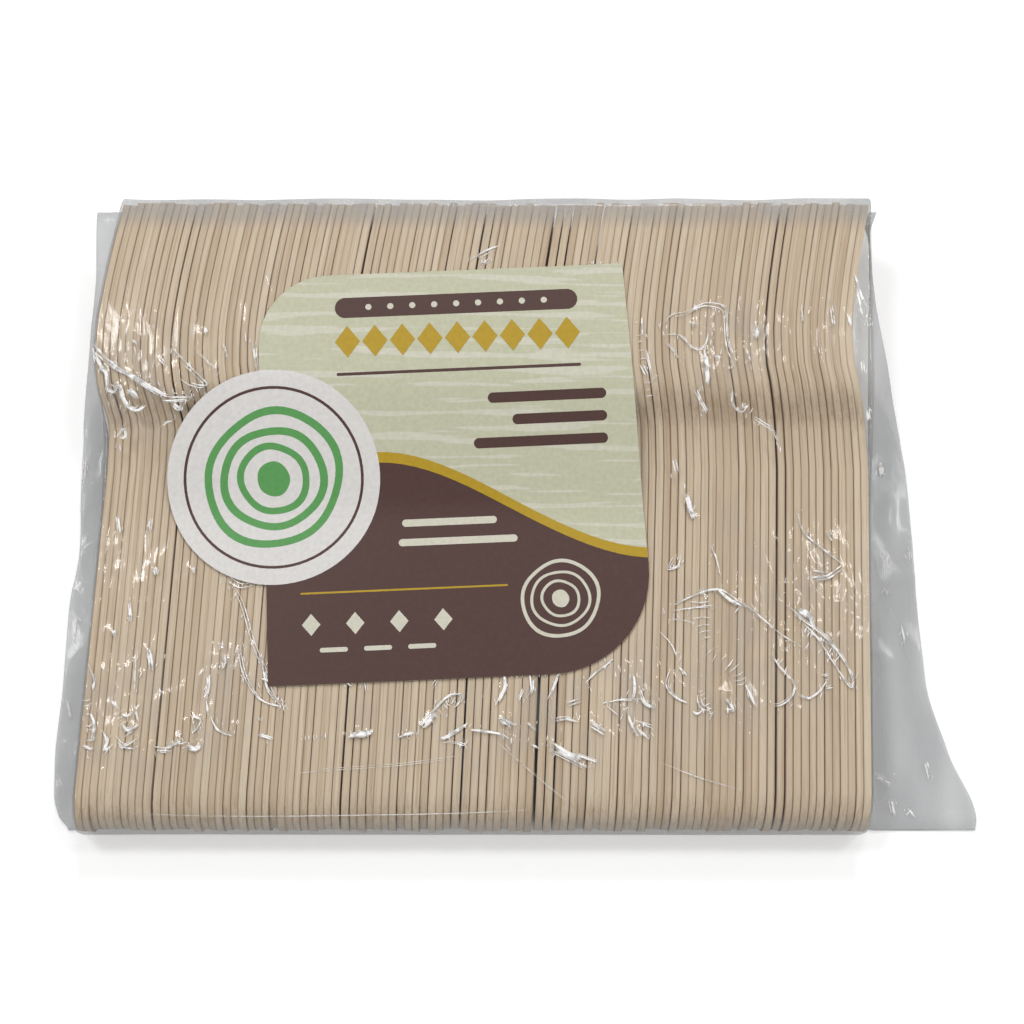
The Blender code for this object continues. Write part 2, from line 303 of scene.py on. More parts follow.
def grain_group():
    """Birch colour and fine relief from the grain attribute and a fork's tone, with browner rims that are
    partly painted shade.
    """
    group = bpy.data.node_groups.new("birch_grain", "ShaderNodeTree")
    add = group.interface.new_socket
    add("Grain", in_out="INPUT", socket_type="NodeSocketVector")
    add("Tone", in_out="INPUT", socket_type="NodeSocketFloat")
    add("Scorch and Shade", in_out="INPUT", socket_type="NodeSocketFloat")
    for name in ("Pale", "Warm", "Dark", "Rim"):
        add(name, in_out="INPUT", socket_type="NodeSocketColor")
    add("Colour", in_out="OUTPUT", socket_type="NodeSocketColor")
    add("Height", in_out="OUTPUT", socket_type="NodeSocketFloat")
    entry = node(group, "NodeGroupInput")
    fine = cloudy(group, entry.outputs["Grain"], (2600, 90, 5200), 3.0)
    broad = cloudy(group, entry.outputs["Grain"], (420, 14, 1500), 2.0)
    base = mix_colours(group, entry.outputs["Tone"], entry.outputs["Pale"], entry.outputs["Warm"])
    streak = ramp(group, broad, 0.50, 0.76, 0.0, 0.55)
    streaked = mix_colours(group, streak, base, entry.outputs["Dark"])
    fibre = ramp(group, fine, 0.50, 0.85, 0.0, 0.50)
    final = mix_colours(group, fibre, streaked, entry.outputs["Dark"])
    inside = node(group, "ShaderNodeSeparateXYZ", {0: entry.outputs["Grain"]})
    off_middle = maths(group, "ABSOLUTE", inside.outputs["Z"])
    # The cut edge's rims and the flat faces take the Rim colour: partly a darkened edge, partly painted
    # shade in the gaps between forks.
    rim = ramp(group, off_middle, RIM_FROM, VENEER / 2)
    scorched_and_shaded = maths(group, "MULTIPLY", rim, entry.outputs["Scorch and Shade"])
    rimmed = mix_colours(group, scorched_and_shaded, final, entry.outputs["Rim"])
    node(group, "NodeGroupOutput", {"Colour": rimmed, "Height": fine})
    return group


# %% Birch material
BIRCH_PALE = (0.69, 0.57, 0.425, 1)
BIRCH_WARM = (0.54, 0.415, 0.285, 1)
BIRCH_DARK = (0.36, 0.23, 0.12, 1)
# Rim: the brown of the cut edges' rims and of the flat faces, partly painted shade in the gaps.
BIRCH_RIM = (0.17, 0.085, 0.04, 1)


def birch_material():
    material, tree = empty_material("birch")
    seen = {
        "Grain": attribute(tree, "grain", "Vector"),
        "Tone": attribute(tree, "tone"),
        "Scorch and Shade": attribute(tree, "scorch_and_shade"),
    }
    colours = {"Pale": BIRCH_PALE, "Warm": BIRCH_WARM, "Dark": BIRCH_DARK, "Rim": BIRCH_RIM}
    wood = node(tree, "ShaderNodeGroup", {**seen, **colours}, node_tree=grain_group())
    relief = bump(tree, wood.outputs["Height"], 0.25, FINE_BUMP)
    put_on(tree, principled(tree, wood.outputs["Colour"], 0.62, 0.3, Normal=relief))
    return material


birch = birch_material()

# %% [markdown]
# ## One fork
#
# Such forks are cut from flat veneer and then pressed in a mould, and they are modelled the same
# way. A flat grid, one column for each tine and each slot, makes the blade. Its near edge is extruded
# down to the neck and the handle's round end, and the four tine edges are extruded out to the tips.
# Thickness and softened edges come from modifiers, and the press comes last, for each fork.

# %% Helpers for modelling
def start_editing(obj, action="DESELECT"):
    """Opens a mesh with nothing in it selected, or everything."""
    select_only(obj)
    bpy.ops.object.mode_set(mode="EDIT")
    bpy.ops.mesh.select_all(action=action)


def stop_editing():
    bpy.ops.object.mode_set(mode="OBJECT")


def select_edges(obj, wanted):
    """In edit mode, selects only the edges whose middle is wanted."""
    bpy.ops.mesh.select_mode(type="EDGE")
    bpy.ops.mesh.select_all(action="DESELECT")
    mesh = bmesh.from_edit_mesh(obj.data)
    for edge in mesh.edges:
        if wanted((edge.verts[0].co + edge.verts[1].co) / 2):
            edge.select_set(True)
    bmesh.update_edit_mesh(obj.data)


def extrude(move, widen, centre):
    """Extrudes what is selected and scales it across X about a centre."""
    bpy.ops.mesh.extrude_region_move(TRANSFORM_OT_translate={"value": move})
    bpy.ops.transform.resize(value=(widen, 1, 1), center_override=centre)


def add_modifier(obj, kind, **settings):
    """Adds a modifier and applies it."""
    select_only(obj)
    made = obj.modifiers.new(kind.lower(), kind)
    for name, value in settings.items():
        setattr(made, name, value)
    bpy.ops.object.modifier_apply(modifier=made.name)


def face_outwards(obj):
    start_editing(obj, "SELECT")
    bpy.ops.mesh.normals_make_consistent(inside=False)
    stop_editing()


# %% The outline's widths
ROOT_TINE = (HEAD_WIDTH - (TINE_COUNT - 1) * SLOT_WIDTH) / TINE_COUNT
HEAD_COLUMNS = 2 * TINE_COUNT - 1
NECK_ROWS, HANDLE_ROWS, END_ANGLES = 4, 9, (22, 44, 64, 80)


def half_width(along):
    """Half the fork's width: round handle end, slow taper to the neck, quick flare to the head."""
    if along < END_RADIUS:
        return math.sqrt(END_RADIUS ** 2 - (END_RADIUS - along) ** 2)
    if along < NECK_AT:
        share = (along - END_RADIUS) / (NECK_AT - END_RADIUS)
        return END_RADIUS + (NECK_WIDTH / 2 - END_RADIUS) * share
    if along < SHOULDER_AT:
        share = (along - NECK_AT) / (SHOULDER_AT - NECK_AT)
        return NECK_WIDTH / 2 + (HEAD_WIDTH - NECK_WIDTH) / 2 * (3 * share ** 2 - 2 * share ** 3)
    return HEAD_WIDTH / 2


def near_rows():
    """The places of the rows from the shoulder back to the handle's end."""
    neck = [SHOULDER_AT - i * (SHOULDER_AT - NECK_AT) / NECK_ROWS for i in range(1, NECK_ROWS + 1)]
    handle = [NECK_AT - i * (NECK_AT - END_RADIUS) / HANDLE_ROWS for i in range(1, HANDLE_ROWS + 1)]
    end = [END_RADIUS * (1 - math.sin(math.radians(angle))) for angle in END_ANGLES]
    return neck + handle + end


# %% The blade, and the handle extruded from it
BLADE_ROWS = 4
HAIR = 0.01 * MM


def flat_blade():
    """The part of the head between the shoulder and the roots of the tines."""
    blade = ROOT_AT - SHOULDER_AT
    blank = add_mesh(bpy.ops.mesh.primitive_grid_add, x_subdivisions=HEAD_COLUMNS,
                     y_subdivisions=BLADE_ROWS, size=1)
    blank.name = "fork_blank"
    columns = [-HEAD_WIDTH / 2]
    for i in range(HEAD_COLUMNS):
        columns.append(columns[-1] + (SLOT_WIDTH if i % 2 else ROOT_TINE))
    for vert in blank.data.vertices:
        column = round((vert.co.x + 0.5) * HEAD_COLUMNS)
        vert.co = (columns[column], SHOULDER_AT + (vert.co.y + 0.5) * blade, 0)
    return blank


def extrude_handle(blank):
    select_edges(blank, lambda middle: abs(middle.y - SHOULDER_AT) < HAIR)
    at = SHOULDER_AT
    for row in near_rows():
        extrude((0, row - at, 0), half_width(row) / half_width(at), (0, row, 0))
        at = row


# %% The tines
TINE_ROWS, TINE_CURVE = 6, 2.5


def extrude_tine(blank, number):
    """Pulls one tine out of the blade's far edge, slightly inwards and narrowing to its tip."""
    root_x = number * (ROOT_TINE + SLOT_WIDTH) + ROOT_TINE / 2 - HEAD_WIDTH / 2
    tip_x = (number - (TINE_COUNT - 1) / 2) * (TIPS_WIDTH - TINE_TIP_WIDTH) / (TINE_COUNT - 1)
    select_edges(blank, lambda middle: abs(middle.y - ROOT_AT) < HAIR
                 and abs(middle.x - root_x) < ROOT_TINE / 4)
    width = ROOT_TINE
    for row in range(1, TINE_ROWS + 1):
        share = row / TINE_ROWS
        next_width = ROOT_TINE + (TINE_TIP_WIDTH - ROOT_TINE) * share ** TINE_CURVE
        centre = (root_x + (tip_x - root_x) * share, 0, 0)
        extrude(((tip_x - root_x) / TINE_ROWS, TINE_LENGTH / TINE_ROWS, 0), next_width / width, centre)
        width = next_width


# %% The finished flat fork
EDGE_SOFTNESS = 0.08 * MM


def flat_fork():
    """A flat fork: X across, Y along from its handle end, Z through the veneer."""
    blank = flat_blade()
    start_editing(blank)
    extrude_handle(blank)
    for number in range(TINE_COUNT):
        extrude_tine(blank, number)
    stop_editing()
    add_modifier(blank, "SOLIDIFY", thickness=VENEER, offset=0)
    add_modifier(blank, "BEVEL", width=EDGE_SOFTNESS, segments=2, limit_method="ANGLE",
                 angle_limit=math.radians(50))
    face_outwards(blank)
    return blank


blank = flat_fork()
print("blank:", len(blank.data.vertices), "points,", len(blank.data.polygons), "faces,",
      [round(v / MM, 2) for v in blank.dimensions], "mm")

# %% [markdown]
# ## The press
#
# The press gives each fork its S: the head sinks to one side of the handle's plane, deepest at the
# roots of the tines, and the tips come most of the way back. A smooth curve through a few stations
# holds it better than straight runs, because the cut edges draw this curve a hundred times.

# %% The pressed profile, in millimetres as (along the fork, sideways)
PRESS_STATIONS = ((0, 0), (92, 0), (102, -0.5), (110, -2.3), (117, -3.5), (126, -3.9), (135, -3.4),
                  (148, -2.1), (160, -0.6))
LEFT_PRESS_DEPTH, LEFT_PRESS_FADE = 1.12, 1.6


def smooth_through(stations, at):
    """A smooth curve through the stations that never overshoots them, for an array of places."""
    xs = np.array([s[0] for s in stations], float)
    ys = np.array([s[1] for s in stations], float)
    slopes = np.diff(ys) / np.diff(xs)
    same_way = slopes[:-1] * slopes[1:] > 0
    sums = np.where(same_way, slopes[:-1] + slopes[1:], 1)
    inner = np.where(same_way, 2 * slopes[:-1] * slopes[1:] / sums, 0)
    tangents = np.concatenate(([slopes[0]], inner, [slopes[-1]]))
    at = np.clip(at, xs[0], xs[-1])
    i = np.clip(np.searchsorted(xs, at, side="right") - 1, 0, len(xs) - 2)
    step = xs[i + 1] - xs[i]
    t = (at - xs[i]) / step
    rise = (3 * t ** 2 - 2 * t ** 3) * (ys[i + 1] - ys[i])
    bend = step * ((t ** 3 - 2 * t ** 2 + t) * tangents[i] + (t ** 3 - t ** 2) * tangents[i + 1])
    return ys[i] + rise + bend


def press(along):
    """The sideways offset of the pressed fork at these distances from its handle end."""
    return smooth_through(PRESS_STATIONS, np.asarray(along) / MM) * MM


# %% [markdown]
# ## The row
#
# The row starts from the solids' own rule: pairs of forks side by side with a seeded small or loose
# gap after each, leaning like the slats of a fan. Each visible pair stands for one solid. Real forks
# lie face to face in bunches, with a dark gap here and there that is often wider at one end. So the
# slack of each few forks is shared out unevenly again, once at the handles and once at the tines.

# %% Where each pair stands
def row_of_pairs():
    """The place at Y = 0 and the lean of each pair, from left to right."""
    pairs = len(PAIR_NODES)
    picker = random.Random(ROW_SEED)
    fan_room = math.tan(LEAN_LEFT - LEAN_RIGHT) / pairs * max(-HANDLE_END_Y, FORK_LENGTH + HANDLE_END_Y)
    places = [0.0]
    for _ in range(pairs):
        gap = LOOSE_GAP if picker.random() < LOOSE_SHARE else TOUCH_GAP
        places.append(places[-1] + 2 * SOLID_THICK + TOUCH_GAP + gap + fan_room)
    middle = places[pairs - 1] / 2
    leans = [LEAN_LEFT + (LEAN_RIGHT - LEAN_LEFT) * i / (pairs - 1) for i in range(pairs)]
    return [(x - middle, lean) for x, lean in zip(places, leans)]


ROW = row_of_pairs()
first_low, first_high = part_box(PAIR_NODES[0])
print("first pair of solids spans", round(first_low.x / MM, 2), "to", round(first_high.x / MM, 2))

# %% Bunches of forks
BUNCH = 3
THICK_SPREAD = 0.02 * MM
LEAST_GAP, MOST_SLACK = 0.005 * MM, 0.42 * MM
UNEVENNESS, LEAST_WEIGHT, TIPS_ALIKE = 5, 0.005, 0.7
NEAR_Y, FAR_Y = HANDLE_END_Y, FORK_LENGTH + HANDLE_END_Y
RIGHT_PRESS_DEPTH, RIGHT_PRESS_FORKS = 1.36, 30
RIGHT_TIPS_IN = 0.6 * MM
LEFT_HANDLES_IN, LEFT_HANDLES_FORKS = 1.4 * MM, 50
LOOKS_SEED = 11
BELLY = 3.8 * MM


def press_depth(number):
    """How deep a fork of the row is pressed, as a share: deeper towards both ends."""
    from_left = max(0.0, 1 - LEFT_PRESS_FADE * number / (2 * len(PAIR_NODES)))
    from_right = max(0.0, 1 - (2 * len(PAIR_NODES) - 1 - number) / RIGHT_PRESS_FORKS)
    return 1 + (LEFT_PRESS_DEPTH - 1) * from_left + (RIGHT_PRESS_DEPTH - 1) * from_right ** 2


def share_slack(places, thick, least, weights):
    """Moves forks inside each bunch so that their gaps have about these weights. Returns the new places."""
    moved = list(places)
    for first in range(0, len(places) - 1, BUNCH):
        last = min(first + BUNCH, len(places) - 1)
        steps = [(thick[i] + thick[i + 1]) / 2 + least[i] for i in range(first, last)]
        slack = places[last] - places[first] - sum(steps)
        total = sum(weights[first:last])
        parts = [min(slack * weight / total, MOST_SLACK) for weight in weights[first:last]]
        rest = (slack - sum(parts)) / len(parts)
        for i, step, part in zip(range(first, last), steps, parts):
            moved[i + 1] = moved[i] + step + part + rest
    return moved


def fork_places(picker):
    """The X of each fork at its handle end and at its tips, and its thickness."""
    near, far = [], []
    for number in range(2 * len(ROW)):
        x, lean = ROW[number // 2]
        x += (number % 2 - 0.5) * (SOLID_THICK + TOUCH_GAP)
        from_left = max(0.0, 1 - number / LEFT_HANDLES_FORKS)
        near.append(x + math.tan(lean) * NEAR_Y + LEFT_HANDLES_IN * from_left ** 2)
        far.append(x + math.tan(lean) * FAR_Y)
        if number > len(ROW):
            far[-1] -= RIGHT_TIPS_IN * (press_depth(number) - 1)
    thick = [VENEER + picker.uniform(-1, 1) * THICK_SPREAD for x in near]
    deeper = [max(0.0, press_depth(i + 1) - press_depth(i)) * BELLY for i in range(len(near) - 1)]
    near_weights = [picker.random() ** UNEVENNESS + LEAST_WEIGHT for x in near]
    far_weights = [TIPS_ALIKE * w + (1 - TIPS_ALIKE) * picker.random() ** UNEVENNESS for w in near_weights]
    near = share_slack(near, thick, [LEAST_GAP] * len(deeper), near_weights)
    far = share_slack(far, thick, [LEAST_GAP + d for d in deeper], far_weights)
    return near, far, thick


picker = random.Random(LOOKS_SEED)
NEAR_X, FAR_X, THICK = fork_places(picker)
for end, places in (("handles", NEAR_X), ("tips", FAR_X)):
    neighbours = zip(places, places[1:], THICK, THICK[1:])
    gaps = [round((b - a - (s + t) / 2) / MM, 3) for a, b, s, t in neighbours]
    print("gaps in mm at the", end, min(gaps), "to", max(gaps))

# %% Press, stand and place one fork
blank_points = np.array([v.co for v in blank.data.vertices])


def stand(points, number, slip, drop):
    """Presses the flat points, stands the fork on its edge and puts it in the row."""
    across, along, through = points.T
    x = NEAR_X[number] + (FAR_X[number] - NEAR_X[number]) * -NEAR_Y / (FAR_Y - NEAR_Y)
    lean = math.atan2(FAR_X[number] - NEAR_X[number], FAR_Y - NEAR_Y)
    from_end = along - END_RADIUS
    side = through * THICK[number] / VENEER + press(along) * press_depth(number)
    y = from_end * math.cos(TILT) - across * math.sin(TILT) + slip
    z = from_end * math.sin(TILT) + across * math.cos(TILT)
    origin_y = HANDLE_END_Y + END_RADIUS
    placed_x = x + math.tan(lean) * origin_y + side * math.cos(lean) + y * math.sin(lean)
    placed_y = origin_y - side * math.sin(lean) + y * math.cos(lean)
    return np.column_stack((placed_x, placed_y, z + FORK_FLOOR + END_RADIUS - drop))


def make_fork(number, place, looks, shift):
    """One fork with its own mesh. place holds what stand() needs, and looks its attributes by name."""
    fork = blank.copy()
    fork.name = f"forks_{number // 2 + 1:02d}"
    fork.data = blank.data.copy()
    bpy.context.scene.collection.objects.link(fork)
    fork.data.vertices.foreach_set("co", stand(blank_points, *place).astype(np.float32).ravel())
    grain = fork.data.attributes.new("grain", "FLOAT_VECTOR", "POINT")
    grain.data.foreach_set("vector", (blank_points + (shift, 0, 0)).astype(np.float32).ravel())
    for name, value in looks.items():
        add_values(fork.data, name, np.full(len(blank_points), value))
    return fork


# %% Make the row
SLIP_ALONG = 0.45 * MM
SLIP_DOWN = 0.20 * MM
GRAIN_SHIFT = 0.5
TONE_SPREAD, LEAST_SCORCH_AND_SHADE = (1.3, 2.4), 0.10


def make_pair(number):
    """Two forks as one piece, which stands for one solid."""
    forks = []
    for fork in (2 * number, 2 * number + 1):
        place = (fork, picker.uniform(-1, 1) * SLIP_ALONG, picker.random() * SLIP_DOWN)
        tone = picker.betavariate(*TONE_SPREAD)
        # How brown a fork's rims and faces are: partly a darkened cut edge, partly painted shade.
        looks = {"tone": tone, "scorch_and_shade": LEAST_SCORCH_AND_SHADE + (1 - LEAST_SCORCH_AND_SHADE) * picker.random() ** 2}
        forks.append(make_fork(fork, place, looks, picker.random() * GRAIN_SHIFT))
    select_only(*forks)
    bpy.ops.object.join()
    bpy.ops.object.shade_smooth_by_angle(angle=SMOOTH_UNDER)
    forks[0].data.materials.append(birch)
    return forks[0]


for number, solid in enumerate(PAIR_NODES):
    pair = make_pair(number)
    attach(pair, "root")
    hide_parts(solid)
bpy.data.objects.remove(blank, do_unlink=True)

# %% [markdown]
# ## The label's place
#
# The label comes before the film, because the film lies smooth under it. It is one piece of coated
# paper, die-cut as a panel with two large round corners and a disc standing out past its left side,
# stuck on slightly askew.

# %% Sizes of the label. A round corner is its side in X, its side in Y and its radius
LABEL_X, LABEL_Y = -7.5 * MM, 7.0 * MM
LABEL_TURN = math.radians(2.5)
PANEL_WIDTH, PANEL_TAPER, PANEL_HEIGHT = 97 * MM, 3.5 * MM, 104 * MM
ROUND_CORNERS = ((-1, 1, 18 * MM), (1, -1, 27 * MM))
DISC_RADIUS, DISC_PAST_PANEL, DISC_UP = 27 * MM, 24.5 * MM, 0.5 * MM
DISC_X = -PANEL_WIDTH / 2 + DISC_RADIUS - DISC_PAST_PANEL
LABEL_MARGIN = 2.5 * MM


def off_label(x, y):
    """How far places lie outside the label's outline, negative inside it, for arrays in metres."""
    turned_x = (x - LABEL_X) * math.cos(LABEL_TURN) + (y - LABEL_Y) * math.sin(LABEL_TURN)
    turned_y = (y - LABEL_Y) * math.cos(LABEL_TURN) - (x - LABEL_X) * math.sin(LABEL_TURN)
    half_x, half_y = PANEL_WIDTH / 2, PANEL_HEIGHT / 2
    past = np.maximum(np.abs(turned_x) - half_x, np.abs(turned_y) - half_y)
    for side_x, side_y, radius in ROUND_CORNERS:
        corner_x = turned_x * side_x - (half_x - radius)
        corner_y = turned_y * side_y - (half_y - radius)
        rounded = np.hypot(corner_x, corner_y) - radius
        past = np.where((corner_x > 0) & (corner_y > 0), rounded, past)
    return np.minimum(past, np.hypot(turned_x - DISC_X, turned_y - DISC_UP) - DISC_RADIUS)


def clear_of_label(x, y):
    """0 under the label, rising to 1 within a small margin outside it."""
    return np.clip(off_label(x, y) / LABEL_MARGIN, 0, 1)


# %% [markdown]
# ## The film's shape
#
# The bag is one tube of thin film. Over the forks it is taut, from the handle ends up across the
# step at the shoulders to the tips, where it drops to the floor. At both ends of the row it is
# pressed flat into a fin, which climbs to the tips at its far corner, and at the right the fin flares
# into a loose flap. So a flat grid of points is wrapped round the pack: one direction goes round the
# section, the other along the row.

# %% The film's line over the forks
FILM_CLEAR = 0.35 * MM
FILM_LANDING_AT = 80 * MM
END_SLACK = 1.2 * MM
LINE_STEP, LINE_SOFTNESS = 0.5 * MM, 2.5 * MM


def fork_edge(along, half):
    """Where a point on a fork's upper edge lies in the pack, as (y, z)."""
    from_end = along - END_RADIUS
    y = HANDLE_END_Y + END_RADIUS + from_end * math.cos(TILT) - half * math.sin(TILT)
    z = FORK_FLOOR + END_RADIUS + from_end * math.sin(TILT) + half * math.cos(TILT)
    return y, z


def film_line():
    """The film's height over the forks at close steps in Y, as two arrays."""
    stations = (END_RADIUS, FILM_LANDING_AT, SHOULDER_AT, ROOT_AT)
    edges = [fork_edge(along, half_width(along)) for along in stations]
    edges.append(fork_edge(FORK_LENGTH, TIPS_WIDTH / 2))
    ys = np.arange(edges[0][0], edges[-1][0], LINE_STEP)
    zs = np.interp(ys, [y for y, z in edges], [z for y, z in edges])
    reach = int(3 * LINE_SOFTNESS / LINE_STEP)
    weights = np.exp(-0.5 * (np.arange(-reach, reach + 1) * LINE_STEP / LINE_SOFTNESS) ** 2)
    padded = np.pad(zs, reach, mode="reflect", reflect_type="odd")
    return ys, np.convolve(padded, weights / weights.sum(), mode="valid") + FILM_CLEAR


LINE_Y, LINE_Z = film_line()


def film_height(y):
    return np.interp(y, LINE_Y, LINE_Z)


print("film's height in mm at the handles, landing, shoulder and tips:",
      [round(float(film_height(y * MM)) / MM, 1) for y in (-70, 0, 31, 77)])

# %% The film's section round the forks
NEAR_STEPS, TOP_STEPS, FAR_STEPS, UNDER_STEPS = 26, 236, 22, 30
FAR_BEND = 2.4 * MM
END_CLEAR = 0.1 * MM
FOOT = ((2.0 * MM, 0.0), (0.6 * MM, 0.6 * MM), (0.0, 2.5 * MM))


def resample(line, steps):
    """Evenly spaced points along a line of points, without the last one."""
    line = np.array(line)
    lengths = np.concatenate(([0], np.cumsum(np.linalg.norm(np.diff(line, axis=0), axis=1))))
    at = np.linspace(0, lengths[-1], steps + 1)[:-1]
    return np.column_stack([np.interp(at, lengths, line[:, k]) for k in (0, 1)])


def film_section():
    """The closed section, as (y, z): near wall, top, far wall and underside."""
    near_y = HANDLE_END_Y - TOUCH_GAP - END_CLEAR
    far_y = fork_edge(FORK_LENGTH, 0)[0] + END_SLACK
    radius = END_RADIUS + FILM_CLEAR
    near = [(near_y + y, z) for y, z in FOOT]
    for degrees in range(0, 86, 5):
        angle = math.radians(degrees)
        height = FORK_FLOOR + END_RADIUS + radius * math.sin(angle)
        near.append((near_y + radius * (1 - math.cos(angle)), height))
    top = [(y, z) for y, z in zip(LINE_Y, LINE_Z) if near[-1][0] + 1 * MM < y < far_y - FAR_BEND]
    far = []
    for degrees in range(90, -1, -10):
        angle = math.radians(degrees)
        height = top[-1][1] - FAR_BEND * (1 - math.sin(angle))
        far.append((far_y - FAR_BEND * (1 - math.cos(angle)), height))
    far += [(far_y - y, z) for y, z in reversed(FOOT)]
    parts = (resample(near + top[:1], NEAR_STEPS), resample(top + far[:1], TOP_STEPS),
             resample(far, FAR_STEPS), resample([far[-1], near[0]], UNDER_STEPS))
    return np.concatenate(parts)


SECTION = film_section()
print("section points:", len(SECTION), "from y", round(SECTION[:, 0].min() / MM, 1), "to",
      round(SECTION[:, 0].max() / MM, 1))

# %% The outlines of the fin, the walls and the flap, in millimetres as (y, x)
LEFT_EDGE = ((-80.5, -105.5), (-77, -108.3), (-72, -109.6), (-62, -110.0), (-42, -108.9), (-24, -108.6),
             (-8, -106.6), (12, -107.2), (24, -107.2), (48, -104.3), (62, -101.9), (77, -101.5))
RIGHT_EDGE = ((-80.5, 124.2), (-78, 124.6), (-61, 118.5), (-43, 113.9), (-20, 112.8), (-10, 112.6),
              (11, 112.0), (37, 107.9), (61, 101.7), (74, 100.6), (77.5, 102.6))
FIN_NEAR_Y, FIN_FAR_Y = -80.8 * MM, 77.5 * MM
WALL_CLEAR = 0.25 * MM
RIGHT_WALL_TURNS = 10 * MM
LEFT_ROOT, RIGHT_ROOT, FAR_ROOT = 4.2 * MM, 4.6 * MM, 0.7 * MM
CORNER_FROM, CORNER_HEIGHT = 18 * MM, 24 * MM


def ease(t):
    """From 0 to 1, slow at both ends, and level past them."""
    t = np.clip(t, 0, 1)
    return t * t * (3 - 2 * t)


def fork_line(number, y):
    """The X of a fork's middle plane at these places, without its press."""
    share = (y - NEAR_Y) / (FAR_Y - NEAR_Y)
    return NEAR_X[number] + (FAR_X[number] - NEAR_X[number]) * share


def left_wall(y):
    bulge = np.minimum(0.0, press(y - HANDLE_END_Y) * press_depth(0))
    return fork_line(0, y) - THICK[0] / 2 - WALL_CLEAR + bulge


def right_wall(y):
    """Taut from the handles to the tips, past the hollow of the last fork."""
    tips = float(press(FORK_LENGTH)) * press_depth(len(NEAR_X) - 1)
    share = ease((y - RIGHT_WALL_TURNS) / (FAR_Y - RIGHT_WALL_TURNS))
    return fork_line(-1, y) + THICK[-1] / 2 + WALL_CLEAR + tips * share


def root(width, y):
    """How far a pressed fin starts from its wall: little at the far corner."""
    return width + (FAR_ROOT - width) * ease((y - CORNER_FROM) / (FAR_Y - CORNER_FROM))


def corner_lift(y):
    return CORNER_HEIGHT * ease((y - CORNER_FROM) / (FAR_Y - CORNER_FROM))
